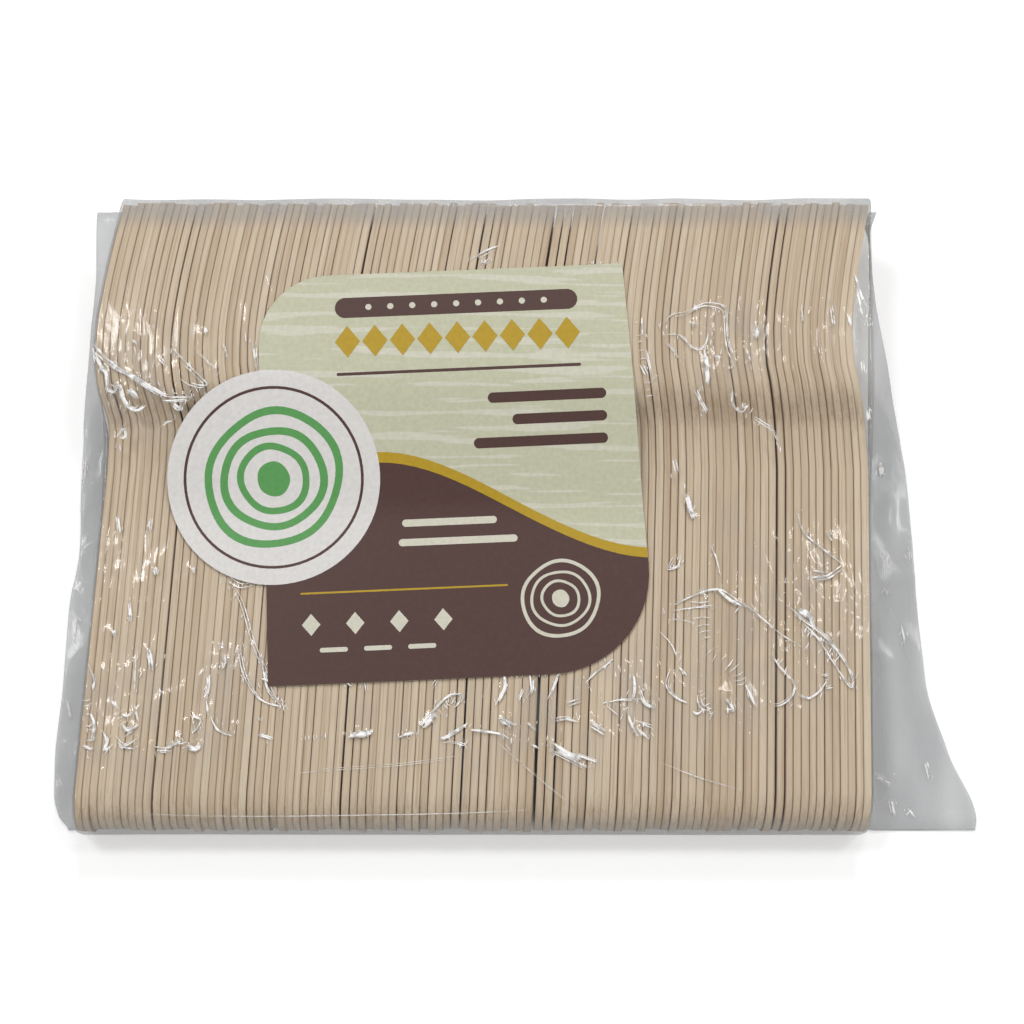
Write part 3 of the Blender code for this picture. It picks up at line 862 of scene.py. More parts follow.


# %% [markdown]
# ## The film's creases
#
# Thin film shows its creases as bright lines where they catch the lamps. Here these are painted
# highlights, white threads laid where the photograph shows them, so they are written as its pixels, and
# a ray from the camera finds the film behind each one.
# The wide ones also raise a low ridge in the film. Fine crinkles fill in round them, and where the
# film is taut it takes a faint ripple from the forks below.

# %% The creases, as (width in millimetres, points in the photograph's pixels)
CREASES_SEEN = (
    # right of the label, under the heads
    (0.30, ((661, 326), (672, 315), (687, 312), (702, 304), (715, 304), (724, 308), (726, 320), (727, 337),
            (730, 350), (735, 362), (728, 367), (720, 365))),
    (0.25, ((664, 335), (677, 334), (685, 340), (692, 347), (700, 349), (706, 342), (708, 330))),
    (0.70, ((705, 350), (707, 365), (707, 385))),
    (0.20, ((666, 340), (675, 350), (682, 362))),
    (0.80, ((757, 326), (757, 337))),
    (0.40, ((747, 350), (750, 360))),
    (0.30, ((714, 355), (720, 358))),
    (0.55, ((693, 322), (694, 326))),
    (0.45, ((695, 388), (701, 400), (707, 411))),
    (0.35, ((732, 390), (731, 402), (740, 412), (747, 405), (743, 408))),
    (0.25, ((747, 412), (762, 422), (773, 430), (779, 447))),
    (0.30, ((800, 306), (802, 321))),
    (0.35, ((830, 305), (833, 327))),
    (0.35, ((848, 315), (851, 325))),
    (0.25, ((818, 347), (819, 352))),
    (0.30, ((642, 318), (643, 335))),
    (0.25, ((646, 350), (652, 375))),
    (0.45, ((641, 365), (646, 375))),
    # the right middle
    (0.60, ((686, 489), (690, 508), (694, 518))),
    (0.25, ((673, 458), (677, 474))),
    (0.35, ((709, 545), (715, 558), (719, 574))),
    (0.30, ((675, 555), (669, 568), (678, 566), (680, 556))),
    (0.22, ((796, 510), (802, 532), (821, 549), (842, 566))),
    (0.35, ((811, 578), (828, 576), (842, 566))),
    (0.30, ((813, 568), (825, 570))),
    (0.40, ((828, 532), (832, 539))),
    # the large folds at the right
    (0.35, ((663, 612), (690, 597), (717, 589), (736, 599), (755, 612), (778, 632), (805, 649))),
    (0.20, ((663, 618), (682, 620), (698, 624))),
    (0.20, ((669, 612), (694, 608), (719, 605))),
    (0.55, ((717, 589), (730, 600), (745, 608))),
    (0.30, ((786, 605), (805, 620), (825, 635), (844, 658), (853, 678), (850, 685), (832, 658), (817, 635),
            (794, 612))),
    (0.25, ((805, 630), (840, 651))),
    (0.30, ((809, 612), (815, 630))),
    (0.75, ((798, 610), (812, 619))),
    (0.25, ((771, 655), (782, 670), (794, 682))),
    (0.30, ((769, 705), (782, 705), (794, 695), (796, 685), (798, 697))),
    (0.30, ((798, 693), (809, 697), (821, 689), (828, 678))),
    (0.35, ((692, 712), (698, 714), (707, 705))),
    (0.30, ((698, 695), (700, 707), (711, 712))),
    (0.40, ((721, 695), (730, 705), (732, 710), (723, 709))),
    (0.40, ((640, 689), (646, 703), (657, 707))),
    (0.30, ((673, 670), (669, 685), (678, 697), (690, 703))),
    (0.25, ((678, 666), (686, 674))),
    (0.45, ((746, 685), (755, 705))),
    (0.20, ((659, 630), (671, 643), (677, 658))),
    (0.14, ((659, 762), (701, 778), (746, 791))),
    (0.30, ((640, 724), (650, 728))),
    # the left, below the heads
    (0.45, ((92, 345), (105, 358), (120, 370), (136, 378), (152, 388), (168, 396), (188, 396), (202, 395))),
    (0.35, ((93, 350), (110, 364), (128, 374), (145, 385), (160, 394))),
    (0.50, ((93, 352), (100, 366), (106, 375), (107, 390))),
    (0.45, ((105, 388), (113, 392), (119, 385), (124, 400), (130, 408), (138, 410), (146, 404))),
    (0.70, ((130, 390), (138, 398))),
    (0.35, ((158, 355), (165, 364), (169, 369))),
    (0.28, ((171, 350), (180, 360), (190, 370), (198, 378), (205, 386), (198, 387), (186, 383),
            (178, 376))),
    (0.20, ((195, 350), (206, 361), (216, 370))),
    (0.50, ((205, 328), (207, 333))),
    (0.20, ((223, 342), (228, 360))),
    (0.20, ((245, 333), (246, 345))),
    (0.25, ((253, 343), (256, 370))),
    (0.30, ((162, 400), (175, 400), (190, 398))),
    (0.45, ((173, 404), (179, 409), (183, 406))),
    (0.40, ((161, 427), (166, 422), (172, 419))),
    (0.40, ((118, 438), (121, 432), (125, 428), (126, 438), (120, 436))),
    (0.30, ((120, 445), (121, 450))),
    (0.55, ((133, 341), (137, 344))),
    (0.35, ((272, 312), (280, 300), (292, 292))),
    (0.30, ((470, 262), (486, 252), (502, 246))),
    (0.25, ((478, 267), (492, 258))),
    # on the forks at the left
    (0.35, ((118, 517), (120, 533))),
    (0.35, ((149, 520), (150, 532))),
    (0.50, ((154, 569), (156, 574))),
    (0.40, ((193, 568), (194, 574))),
    (0.30, ((128, 597), (130, 615), (129, 622))),
    (0.40, ((113, 630), (114, 636))),
    (0.50, ((149, 650), (151, 660), (152, 672))),
    (0.25, ((136, 655), (135, 690))),
    (0.35, ((88, 665), (94, 680), (92, 690))),
    (0.40, ((90, 712), (94, 725), (92, 740))),
    (0.30, ((82, 745), (92, 750))),
    (0.30, ((103, 730), (107, 740), (104, 750), (112, 745))),
    (0.40, ((118, 712), (126, 716), (133, 712))),
    (0.50, ((120, 722), (128, 730), (138, 724))),
    (0.35, ((115, 735), (125, 745), (137, 738))),
    (0.35, ((122, 748), (135, 750))),
    (0.40, ((136, 707), (138, 720))),
    (0.30, ((110, 700), (118, 708))),
    (0.35, ((152, 746), (165, 748), (178, 742), (186, 740))),
    (0.25, ((155, 751), (170, 752))),
    (0.35, ((190, 735), (197, 728), (200, 720), (192, 718), (196, 735))),
    (0.50, ((186, 748), (196, 750), (199, 745))),
    (0.30, ((210, 712), (216, 726), (224, 732), (235, 735))),
    (0.30, ((206, 700), (208, 715))),
    (0.35, ((207, 672), (209, 684), (206, 700))),
    (0.50, ((222, 655), (224, 664), (221, 668))),
    (0.30, ((221, 640), (223, 648))),
    (0.22, ((225, 578), (240, 600), (252, 640), (262, 665), (276, 695), (284, 709))),
    (0.25, ((240, 645), (246, 675), (262, 700), (283, 707))),
    (0.30, ((262, 660), (268, 690), (284, 706))),
    (0.30, ((226, 577), (240, 586), (256, 583))),
    (0.40, ((262, 678), (278, 682), (292, 683))),
    (0.30, ((257, 717), (263, 720))),
    (0.30, ((258, 735), (268, 738), (276, 741))),
    # below the label
    (0.90, ((349, 737), (360, 734), (372, 734))),
    (0.35, ((398, 737), (406, 734), (418, 732))),
    (0.30, ((418, 730), (424, 722), (433, 712), (442, 702), (452, 695), (462, 696), (458, 706), (445, 712),
            (433, 725))),
    (0.65, ((425, 726), (435, 713))),
    (0.35, ((440, 740), (450, 736), (462, 728), (468, 724))),
    (0.30, ((442, 744), (455, 743), (464, 745), (466, 735))),
    (0.40, ((470, 730), (485, 732), (500, 735), (512, 741))),
    (0.50, ((503, 675), (504, 685), (500, 695), (495, 705))),
    (0.75, ((499, 719), (506, 722), (513, 726))),
    (0.30, ((520, 700), (524, 690))),
    (0.35, ((530, 672), (532, 690), (526, 700))),
    (0.35, ((545, 705), (550, 695), (556, 680), (558, 670))),
    (0.25, ((529, 722), (537, 730))),
    (0.40, ((533, 746), (541, 750))),
    (0.45, ((550, 742), (562, 751), (575, 757), (590, 765))),
    (0.35, ((549, 749), (570, 760), (590, 770))),
    (0.30, ((575, 755), (597, 763))),
    (0.50, ((552, 720), (565, 717), (578, 720))),
    (0.30, ((566, 705), (580, 700))),
    (0.35, ((584, 685), (592, 676), (605, 666), (612, 660))),
    (0.50, ((590, 722), (600, 728), (608, 733))),
    (0.30, ((604, 703), (620, 700), (640, 700))),
    (0.40, ((628, 712), (632, 722), (640, 738))),
    (0.35, ((634, 728), (644, 735), (650, 740))),
    (0.30, ((607, 706), (618, 715))),
    (0.40, ((634, 675), (635, 690), (632, 700))),
    (0.25, ((430, 690), (436, 680), (445, 672))),
    (0.35, ((345, 680), (352, 686))),
    (0.25, ((365, 682), (367, 695))),
    (0.14, ((270, 775), (330, 770), (400, 765), (460, 757))),
    (0.12, ((500, 745), (540, 780), (568, 803))),
    (0.12, ((130, 812), (250, 815), (460, 812), (570, 806))),
    # the flap and the fin
    (0.40, ((855, 277), (861, 295), (867, 310), (866, 325))),
    (0.30, ((859, 290), (864, 315))),
    (0.40, ((862, 360), (863, 372))),
    (0.35, ((868, 410), (869, 420))),
    (0.60, ((879, 463), (881, 476))),
    (0.30, ((886, 556), (887, 567))),
    (0.25, ((909, 545), (911, 559))),
    (0.30, ((901, 624), (904, 640), (905, 650))),
    (0.25, ((886, 585), (890, 594))),
    (0.40, ((926, 762), (930, 777))),
    (0.35, ((878, 777), (890, 783))),
    (0.45, ((890, 801), (893, 815))),
    (0.35, ((909, 808), (915, 816))),
    (0.25, ((78, 620), (75, 645))),
    (0.25, ((66, 700), (70, 720))),
    (0.25, ((86, 460), (84, 480))),
)

# %% Combs of painted highlights: rows of short strokes across a path, as (strokes, their length in pixels, the path)
COMBS_SEEN = (
    (15, 18, ((701, 600), (703, 628), (712, 651), (734, 668), (742, 685))),
    (7, 9, ((826, 674), (830, 692))),
    (7, 7, ((302, 738), (327, 736))),
    (6, 7, ((398, 736), (420, 732))),
    (8, 9, ((424, 726), (455, 698))),
    (7, 12, ((118, 712), (138, 748))),
    (8, 5, ((588, 263), (618, 263))),
    (10, 6, ((636, 318), (650, 400))),
    (7, 8, ((86, 700), (92, 750))),
    (9, 7, ((505, 676), (562, 672))),
    (6, 6, ((700, 690), (712, 714))),
    (5, 8, ((798, 640), (842, 664))),
    (6, 8, ((178, 730), (186, 752))),
)
COMB_WIDTH, COMB_BOW, COMB_STEPS = 0.36, 1.5, 12
COMB_LENGTHS, COMB_WIDTHS = (0.5, 1.1), (0.6, 1.3)


# %% From a pixel to the pack
def sight_line(px, py):
    """The direction in which the camera sees this pixel."""
    right, up = Vector((1, 0, 0)), Vector((0, math.sin(CAMERA_ELEVATION), math.cos(CAMERA_ELEVATION)))
    aside = right * (px - ORIGIN_PIXEL[0]) / FOCAL_PIXELS
    down = up * (py - ORIGIN_PIXEL[1]) / FOCAL_PIXELS
    return (aside - down - toward_camera).normalized()


def over_forks(px, py):
    """Where this pixel meets the taut film, as (x, y)."""
    aim, height = sight_line(px, py), 22 * MM
    for _ in range(4):
        place = camera.location + aim * (height - camera.location.z) / aim.z
        height = float(film_height(place.y))
    return place.x, place.y


def through_points(points, steps):
    """A smooth line through these points, as an array with this many steps between each two."""
    points = np.array([points[0], *points, points[-1]], float)
    t = np.linspace(0, 1, steps, endpoint=False)[:, None]
    line = []
    for a, b, c, d in zip(points, points[1:], points[2:], points[3:]):
        square = a - 2.5 * b + 2 * c - d / 2
        cube = 1.5 * b - a / 2 - 1.5 * c + d / 2
        line.append(b + (c - a) * t / 2 + square * t ** 2 + cube * t ** 3)
    return np.concatenate(line + [points[-1:]])


# %% Ridges under the wide creases, apart from those of the flap
RIDGE_FROM, RIDGE_REACH, RIDGE_SHARE = 0.38, 1.0, 0.8
FLAP_PIXEL = 850


def crease_relief(x, y):
    """The height of the ridges, for arrays of x and y in millimetres."""
    total = np.zeros_like(x)
    for width, seen in CREASES_SEEN:
        if width < RIDGE_FROM or seen[0][0] > FLAP_PIXEL:
            continue
        line = [(a / MM, b / MM) for a, b in (over_forks(*point) for point in seen)]
        nearest = np.full_like(x, 1e9)
        for (ax, ay), (bx, by) in zip(line, line[1:]):
            dx, dy = bx - ax, by - ay
            share = np.clip(((x - ax) * dx + (y - ay) * dy) / (dx * dx + dy * dy), 0, 1)
            nearest = np.minimum(nearest, np.hypot(x - ax - share * dx, y - ay - share * dy))
        total = np.maximum(total, width * RIDGE_SHARE / (1 + (nearest / RIDGE_REACH) ** 2) ** 1.5)
    return total


# %% Where fine crinkles gather, as (x, y, radius, strength) in millimetres
CRINKLES = (
    (-86, 29, 15, 1.0), (62, 42, 12, 1.0), (76, -30, 20, 1.0), (-90, -55, 16, 1.0), (-62, -44, 10, 0.8),
    (-72, -56, 12, 0.8), (8, -56, 16, 0.8), (34, -50, 16, 0.9), (60, -48, 14, 0.8), (-28, -56, 8, 0.6),
    (84, 42, 10, 0.25), (-86, -20, 14, 0.35), (60, -4, 8, 0.5), (84, -10, 10, 0.35), (2, 64, 8, 0.4),
    (-54, 52, 8, 0.5),
)
BARE_CRINKLE = 0.06


def crumple(x, y):
    """How crinkled the film is, from 0 to 1, for arrays of x and y in millimetres."""
    total = np.full_like(x, BARE_CRINKLE)
    for centre_x, centre_y, radius, strength in CRINKLES:
        off_centre = (x - centre_x) ** 2 + (y - centre_y) ** 2
        total = np.maximum(total, strength * np.exp(-off_centre / radius ** 2))
    return total


# %% Noise for the crinkles
def soft_noise(x, y, scale_x, scale_y, seed):
    """Smooth noise from about -1 to 1, for arrays of places."""
    made = [noise.noise((a, b, seed)) for a, b in zip((x * scale_x).ravel(), (y * scale_y).ravel())]
    return np.array(made).reshape(x.shape)


def ridges(x, y, scale_x, scale_y, seed):
    """Noise with sharp crests, from 0 to 1."""
    return (1 - np.minimum(1, np.abs(soft_noise(x, y, scale_x, scale_y, seed)) * 2.2)) ** 3


# %% The film's whole relief, with heights in millimetres
FOLD_HEIGHT, CRINKLE_HEIGHT, LOOSE_HEIGHT = 0.30, 0.26, 0.25
FIN_LIFT, FIN_WAVE, FIN_CRUMPLE = 0.2, 0.8, 0.40


def film_relief(x, y):
    """How far the film stands out from its taut shape, in metres, for arrays of places."""
    smooth = clear_of_label(x, y)
    x, y = x / MM, y / MM
    warped_x = x + 3 * soft_noise(x, y, 0.07, 0.07, 3.3)
    warped_y = y + 3 * soft_noise(x, y, 0.07, 0.07, 8.1)
    folds = ridges(warped_x, warped_y, 0.075, 0.055, 1.7)
    small = ridges(warped_x, warped_y, 0.19, 0.16, 5.9)
    broad = 0.5 + 0.5 * soft_noise(x, y, 0.02, 0.025, 12.4)
    loose = crumple(x, y) * (FOLD_HEIGHT * folds + CRINKLE_HEIGHT * small) + LOOSE_HEIGHT * broad
    return (crease_relief(x, y) + loose) * smooth * MM


def fin_sway(x, y):
    """How far the flat fins stand off the floor, in metres."""
    x, y = x / MM, y / MM
    waves = 0.5 + 0.5 * soft_noise(x, y, 0.045, 0.035, 21.5)
    crumpled = ridges(x, y, 0.10, 0.08, 31.5)
    return (FIN_LIFT + FIN_WAVE * waves + FIN_CRUMPLE * crumpled) * MM


# %% [markdown]
# ## Wrapping the grid
#
# For each place along the row the section is either full, or pressed flat in the fins, or in between
# on the steep walls at both ends. The grid is wrapped by these rules, its long seam is merged, and
# the flat ends are filled, which is where such a bag is welded.

# %% One column of the wrapped grid
FIN_COLUMNS, ROOT_COLUMNS, TOP_COLUMNS, FLAP_COLUMNS = 12, 14, 214, 34
LAYER_GAP = 0.25 * MM
ROOT_CURVE = 1.5


def flat_section():
    """The section pressed flat: y spread evenly, and 1 on the upper layer, 0 on the lower."""
    upper = np.linspace(0, 1, NEAR_STEPS + TOP_STEPS + FAR_STEPS + 1)[:-1]
    lower = np.linspace(1, 0, UNDER_STEPS + 1)[:-1]
    layer = np.concatenate((np.minimum(1, np.minimum(upper, 1 - upper) * 40), np.zeros(UNDER_STEPS)))
    return FIN_NEAR_Y + np.concatenate((upper, lower)) * (FIN_FAR_Y - FIN_NEAR_Y), layer


FLAT_Y, LAYER = flat_section()


def wrapped_column(part, share):
    """The points of one column and how loose its film is: 0 over the forks, 1 in the fins."""
    full = float({"fin": 0, "rise": ease(share), "top": 1, "fall": ease(1 - share), "flap": 0}[part])
    y = FLAT_Y + (SECTION[:, 0] - FLAT_Y) * full
    if part == "fin":
        edge = smooth_through(LEFT_EDGE, y / MM) * MM
        x = edge + (left_wall(y) - root(LEFT_ROOT, y) - edge) * share
    elif part == "rise":
        x = left_wall(y) - root(LEFT_ROOT, y) * (1 - share) ** ROOT_CURVE
    elif part == "top":
        x = left_wall(y) + (right_wall(y) - left_wall(y)) * share
    elif part == "fall":
        x = right_wall(y) + root(RIGHT_ROOT, y) * share ** ROOT_CURVE
    else:
        foot = right_wall(y) + root(RIGHT_ROOT, y)
        x = foot + (smooth_through(RIGHT_EDGE, y / MM) * MM - foot) * share
    return np.column_stack((x, y, SECTION[:, 1] * full)), np.full(len(y), 1 - full)


# %% All the columns, with the relief
FAR_WAVE, FAR_WAVE_FROM, FAR_WAVE_EASE = 0.7 * MM, 72 * MM, 8 * MM
FULL_RELIEF_AT = 3 * MM
OFF_FLOOR = 0.02 * MM


def outward(grid):
    """Unit normals of the wrapped grid, from the differences of neighbours."""
    along = np.gradient(grid, axis=0)
    around = (np.roll(grid, -1, axis=1) - np.roll(grid, 1, axis=1)) / 2
    normals = np.cross(along, around)
    normals /= np.maximum(np.linalg.norm(normals, axis=2, keepdims=True), 1e-12)
    return normals * np.sign(normals[len(grid) // 2, NEAR_STEPS + TOP_STEPS // 2, 2])


def bag_grid():
    """The bag's points as [column, place round the section, xyz], and its looseness."""
    plan = [("fin", i / FIN_COLUMNS) for i in range(FIN_COLUMNS)]
    plan += [("rise", i / ROOT_COLUMNS) for i in range(ROOT_COLUMNS)]
    plan += [("top", i / TOP_COLUMNS) for i in range(TOP_COLUMNS)]
    plan += [("fall", i / ROOT_COLUMNS) for i in range(ROOT_COLUMNS)]
    plan += [("flap", i / FLAP_COLUMNS) for i in range(FLAP_COLUMNS + 1)]
    columns = [wrapped_column(part, share) for part, share in plan]
    grid = np.array([points for points, loose in columns])
    loose = np.array([loose for points, loose in columns])
    lift = corner_lift(grid[..., 1])
    grid[..., 2] += loose * (fin_sway(grid[..., 0], grid[..., 1]) + LAYER_GAP * LAYER + lift)
    raised = np.clip(grid[..., 2] / FULL_RELIEF_AT, 0, 1)
    relief = film_relief(grid[..., 0], grid[..., 1]) * np.maximum(raised, loose * LAYER)
    grid += outward(grid) * relief[..., None]
    wave = FAR_WAVE * soft_noise(grid[..., 0] / MM, grid[..., 2] / MM, 0.06, 0.05, 41.5)
    grid[..., 1] += wave * ease((grid[..., 1] - FAR_WAVE_FROM) / FAR_WAVE_EASE) * (1 - loose)
    grid[..., 2] = np.maximum(grid[..., 2], OFF_FLOOR)
    return grid, loose


bag_points, bag_loose = bag_grid()
print("bag grid:", bag_points.shape, "highest point in mm:", round(bag_points[..., 2].max() / MM, 2))

# %% [markdown]
# ## Clear film
#
# Thin clear film is nearly invisible face on and turns into a mirror at a slant. Layer Weight gives
# that: a small gloss everywhere, rising with the slant. The mesh carries three attributes. The first,
# haze, says where the film is loose, doubled or bent over an edge, and there a little grey is mixed
# in. The second, crumple, says where it is crinkled. The third counts the forks below, so that a
# bump can let the film sag by up to a tenth of a millimetre between each fork and the next.

# %% The film's attributes
FAR_HAZE, NEAR_HAZE, CRUMPLE_HAZE = 1.1, 0.85, 0.42
FAR_HAZE_FROM, FAR_HAZE_EASE = 69.5 * MM, 6.5 * MM
NEAR_HAZE_FROM, NEAR_HAZE_EASE = 4.5 * MM, 6 * MM
CLEAR_BELOW, CLEAR_EASE = 15 * MM, 8 * MM


def fork_below(x, y):
    """Which fork lies under each place, as a smooth number, for arrays in metres."""
    order = np.arange(len(NEAR_X))
    slants = (np.array(FAR_X) - NEAR_X) / (FAR_Y - NEAR_Y)
    middles = np.array(NEAR_X) - slants * NEAR_Y
    bend = press(np.clip(y - HANDLE_END_Y, 0, FORK_LENGTH))
    number = np.full_like(x, len(order) / 2)
    for _ in range(3):
        number = np.interp(x - y * np.interp(number, order, slants) - bend, middles, order)
    return number


def film_attributes():
    x, y, z = bag_points[..., 0], bag_points[..., 1], bag_points[..., 2]
    gathered = crumple(x / MM, y / MM) * clear_of_label(x, y)
    patches = np.clip(0.5 + 1.6 * soft_noise(x / MM, y / MM, 0.16, 0.13, 51.5), 0, 1)
    bend = 0.30 + 0.70 * ease((z - CLEAR_BELOW) / CLEAR_EASE)
    far = FAR_HAZE * ease((y - FAR_HAZE_FROM) / FAR_HAZE_EASE) * (0.75 + 0.25 * patches) * bend
    near = NEAR_HAZE * ease((HANDLE_END_Y + NEAR_HAZE_FROM - y) / NEAR_HAZE_EASE)
    streaks = np.clip(0.88 + 0.35 * soft_noise(x / MM, y / MM, 0.16, 0.05, 61.5), 0, 1)
    haze = np.maximum.reduce([ease(2 * bag_loose) * streaks, far, near, CRUMPLE_HAZE * gathered * patches])
    return {"haze": haze, "crumple": gathered, "fork_below": fork_below(x, y)}


# %% Film material
FILM_TINT = (0.965, 0.97, 0.97, 1)
MILK_COLOUR = (0.455, 0.46, 0.468, 1)
RIPPLE, CRINKLE = 0.08, 0.16
GLOSS_FLAT, GLOSS_STEEP, GLOSS_DULLED = 0.022, 0.55, 0.28
MILK_CLEAR, MILK_HAZE = 0.012, 0.41


def film_height_map(tree, coords):
    """The height of the fine relief in millimetres: sag between forks, and crinkles."""
    below, crumpled = attribute(tree, "fork_below"), attribute(tree, "crumple")
    crest = maths(tree, "ABSOLUTE", maths(tree, "COSINE", maths(tree, "MULTIPLY", below, math.pi)))
    held = ramp(tree, cloudy(tree, coords, 75.0, 2.0), 0.50, 0.66)
    amount = maths(tree, "MULTIPLY", held, maths(tree, "ADD", crumpled, 0.18))
    sag = maths(tree, "MULTIPLY", maths(tree, "MULTIPLY", crest, amount), RIPPLE)
    wrinkles = cloudy(tree, coords, (190, 80, 120), 2.0, Distortion=0.6)
    off_crest = maths(tree, "ABSOLUTE", maths(tree, "SUBTRACT", wrinkles, 0.5))
    sharp = ramp(tree, off_crest, 0.0, 0.10, 1.0, 0.0)
    crinkled = maths(tree, "MULTIPLY", maths(tree, "MULTIPLY", sharp, crumpled), CRINKLE)
    return maths(tree, "ADD", sag, crinkled)


def film_material():
    material, tree = empty_material("clear_film")
    coords = node(tree, "ShaderNodeTexCoord")
    haze = attribute(tree, "haze")
    relief = bump(tree, film_height_map(tree, coords.outputs["Object"]), 1.0, MM)
    slant = node(tree, "ShaderNodeLayerWeight", {"Blend": 0.5, "Normal": relief})
    steep = maths(tree, "POWER", slant.outputs["Facing"], 3.0)
    shiny = maths(tree, "MULTIPLY_ADD", steep, GLOSS_STEEP, GLOSS_FLAT)
    gloss = maths(tree, "MULTIPLY", shiny, ramp(tree, haze, 0.0, 1.0, 1.0, GLOSS_DULLED))
    milk = maths(tree, "MULTIPLY_ADD", haze, MILK_HAZE, MILK_CLEAR)
    clear = node(tree, "ShaderNodeBsdfTransparent", {"Color": FILM_TINT})
    grey = node(tree, "ShaderNodeBsdfDiffuse", {"Color": MILK_COLOUR})
    shine = node(tree, "ShaderNodeBsdfGlossy", {"Color": (1, 1, 1, 1), "Roughness": 0.10, "Normal": relief})
    body = mix_shaders(tree, milk, clear.outputs[0], grey.outputs[0])
    put_on(tree, mix_shaders(tree, gloss, body, shine.outputs[0]))
    return material


# %% Make the bag's mesh
SEAM_MERGE = 0.002 * MM


def make_bag():
    across, around = bag_points.shape[:2]
    bag = add_mesh(bpy.ops.mesh.primitive_grid_add, x_subdivisions=across - 1,
                   y_subdivisions=around, size=2)
    bag.name = "film"
    flat = np.empty(len(bag.data.vertices) * 3, np.float32)
    bag.data.vertices.foreach_get("co", flat)
    flat = flat.reshape(-1, 3)
    column = np.rint((flat[:, 0] + 1) / 2 * (across - 1)).astype(int)
    place = np.rint((flat[:, 1] + 1) / 2 * around).astype(int) % around
    bag.data.vertices.foreach_set("co", bag_points[column, place].astype(np.float32).ravel())
    for name, values in film_attributes().items():
        add_values(bag.data, name, values[column, place])
    start_editing(bag, "SELECT")
    bpy.ops.mesh.remove_doubles(threshold=SEAM_MERGE)
    bpy.ops.mesh.select_all(action="SELECT")
    bpy.ops.mesh.fill_holes(sides=0)
    bpy.ops.mesh.select_all(action="SELECT")
    bpy.ops.mesh.quads_convert_to_tris()
    stop_editing()
    face_outwards(bag)
    bpy.ops.object.shade_smooth()
    bag.data.materials.append(film_material())
    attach(bag, "root")
    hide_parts("film_bag")
    return bag


bag = make_bag()
print("film triangles:", len(bag.data.polygons))

# %% [markdown]
# ## The threads of the creases, painted highlights
#
# The creases' bright lines are painted highlights of the lamps in the film. Each crease is a bundle of
# thin tapering white tubes, half sunk in the film, with short frayed strokes beside it. Their width
# trembles along their length, and here and there they turn clearer. They are curves first, because a
# curve takes a radius at each point, and become one mesh at the end.

# %% Thread material
# The threads' white is a painted highlight: the lamps seen in the film's creases.
HIGHLIGHT_WHITE = (0.97, 0.955, 0.94, 1)


def highlight_thread_material():
    material, tree = empty_material("film_crease_highlight")
    clear = node(tree, "ShaderNodeBsdfTransparent", {"Color": FILM_TINT})
    white = principled(tree, HIGHLIGHT_WHITE, 0.18, 0.9)
    place = node(tree, "ShaderNodeTexCoord")
    solid = ramp(tree, cloudy(tree, place.outputs["Object"], 420.0, 1.0), 0.38, 0.50, 0.35, 1.0)
    put_on(tree, mix_shaders(tree, solid, clear.outputs[0], white))
    return material


# %% Lay the painted highlight threads on the film
THREAD_STEPS = 4
STRAND_EVERY, STRAND_OFF, STRAND_SWELL, STRAND_WIDTHS = 0.16, 1.1, 1.25, (0.4, 1.1)
THREAD_TREMBLE = 0.5
END_TAPER, TAPER_STEP = 0.25, 0.5
# what lies off a crease and the length of strokes are in the photograph's pixels
FRAY_FROM, FRAY_EVERY, FRAY_OFF, FRAY_SLANT = 0.15, 5, 3.2, 0.35
FRAY_LENGTH, FRAY_WIDTH = (2, 7), (0.16, 0.45)


def strands(width, line):
    """The strands of one crease, side by side: wide creases have more, each with a piece of its length."""
    for _ in range(1 + round(width / STRAND_EVERY)):
        first = picker.randrange(max(1, len(line) // 3))
        last = len(line) - picker.randrange(max(1, len(line) // 3))
        off = (picker.gauss(0, STRAND_OFF), picker.gauss(0, STRAND_OFF))
        yield width * STRAND_SWELL * picker.uniform(*STRAND_WIDTHS), line[first:last] + off


def frayed(line):
    """Short strokes at random beside a crease, most of them along the forks."""
    length = np.hypot(*np.diff(line, axis=0).T).sum()
    for _ in range(int(length / FRAY_EVERY)):
        px, py = line[picker.randrange(len(line))]
        px += picker.gauss(0, FRAY_OFF)
        py += picker.gauss(0, FRAY_OFF)
        slant = picker.gauss(0, FRAY_SLANT)
        reach = picker.uniform(*FRAY_LENGTH) / 2
        ends = np.array(((px - slant * reach, py - reach), (px, py), (px + slant * reach, py + reach)))
        yield picker.uniform(*FRAY_WIDTH), ends


def thread_paths():
    """Every crease and comb stroke as (width in millimetres, array of pixels)."""
    for width, seen in CREASES_SEEN:
        line = through_points(seen, THREAD_STEPS)
        yield from strands(width, line)
        if width > FRAY_FROM:
            yield from frayed(line)
    for strokes, length, path in COMBS_SEEN:
        line = through_points(path, COMB_STEPS)
        for i in range(strokes):
            at = (i + 0.5) / strokes * (len(line) - 1)
            middle = line[int(at)]
            ahead = line[min(int(at) + 1, len(line) - 1)] - line[max(int(at) - 1, 0)]
            ahead = ahead / np.hypot(*ahead)
            across = np.array((-ahead[1], ahead[0])) * length / 2 * picker.uniform(*COMB_LENGTHS)
            bow = ahead * picker.uniform(-COMB_BOW, COMB_BOW)
            stroke = np.array((middle - across, middle + bow, middle + across))
            yield COMB_WIDTH * picker.uniform(*COMB_WIDTHS), stroke


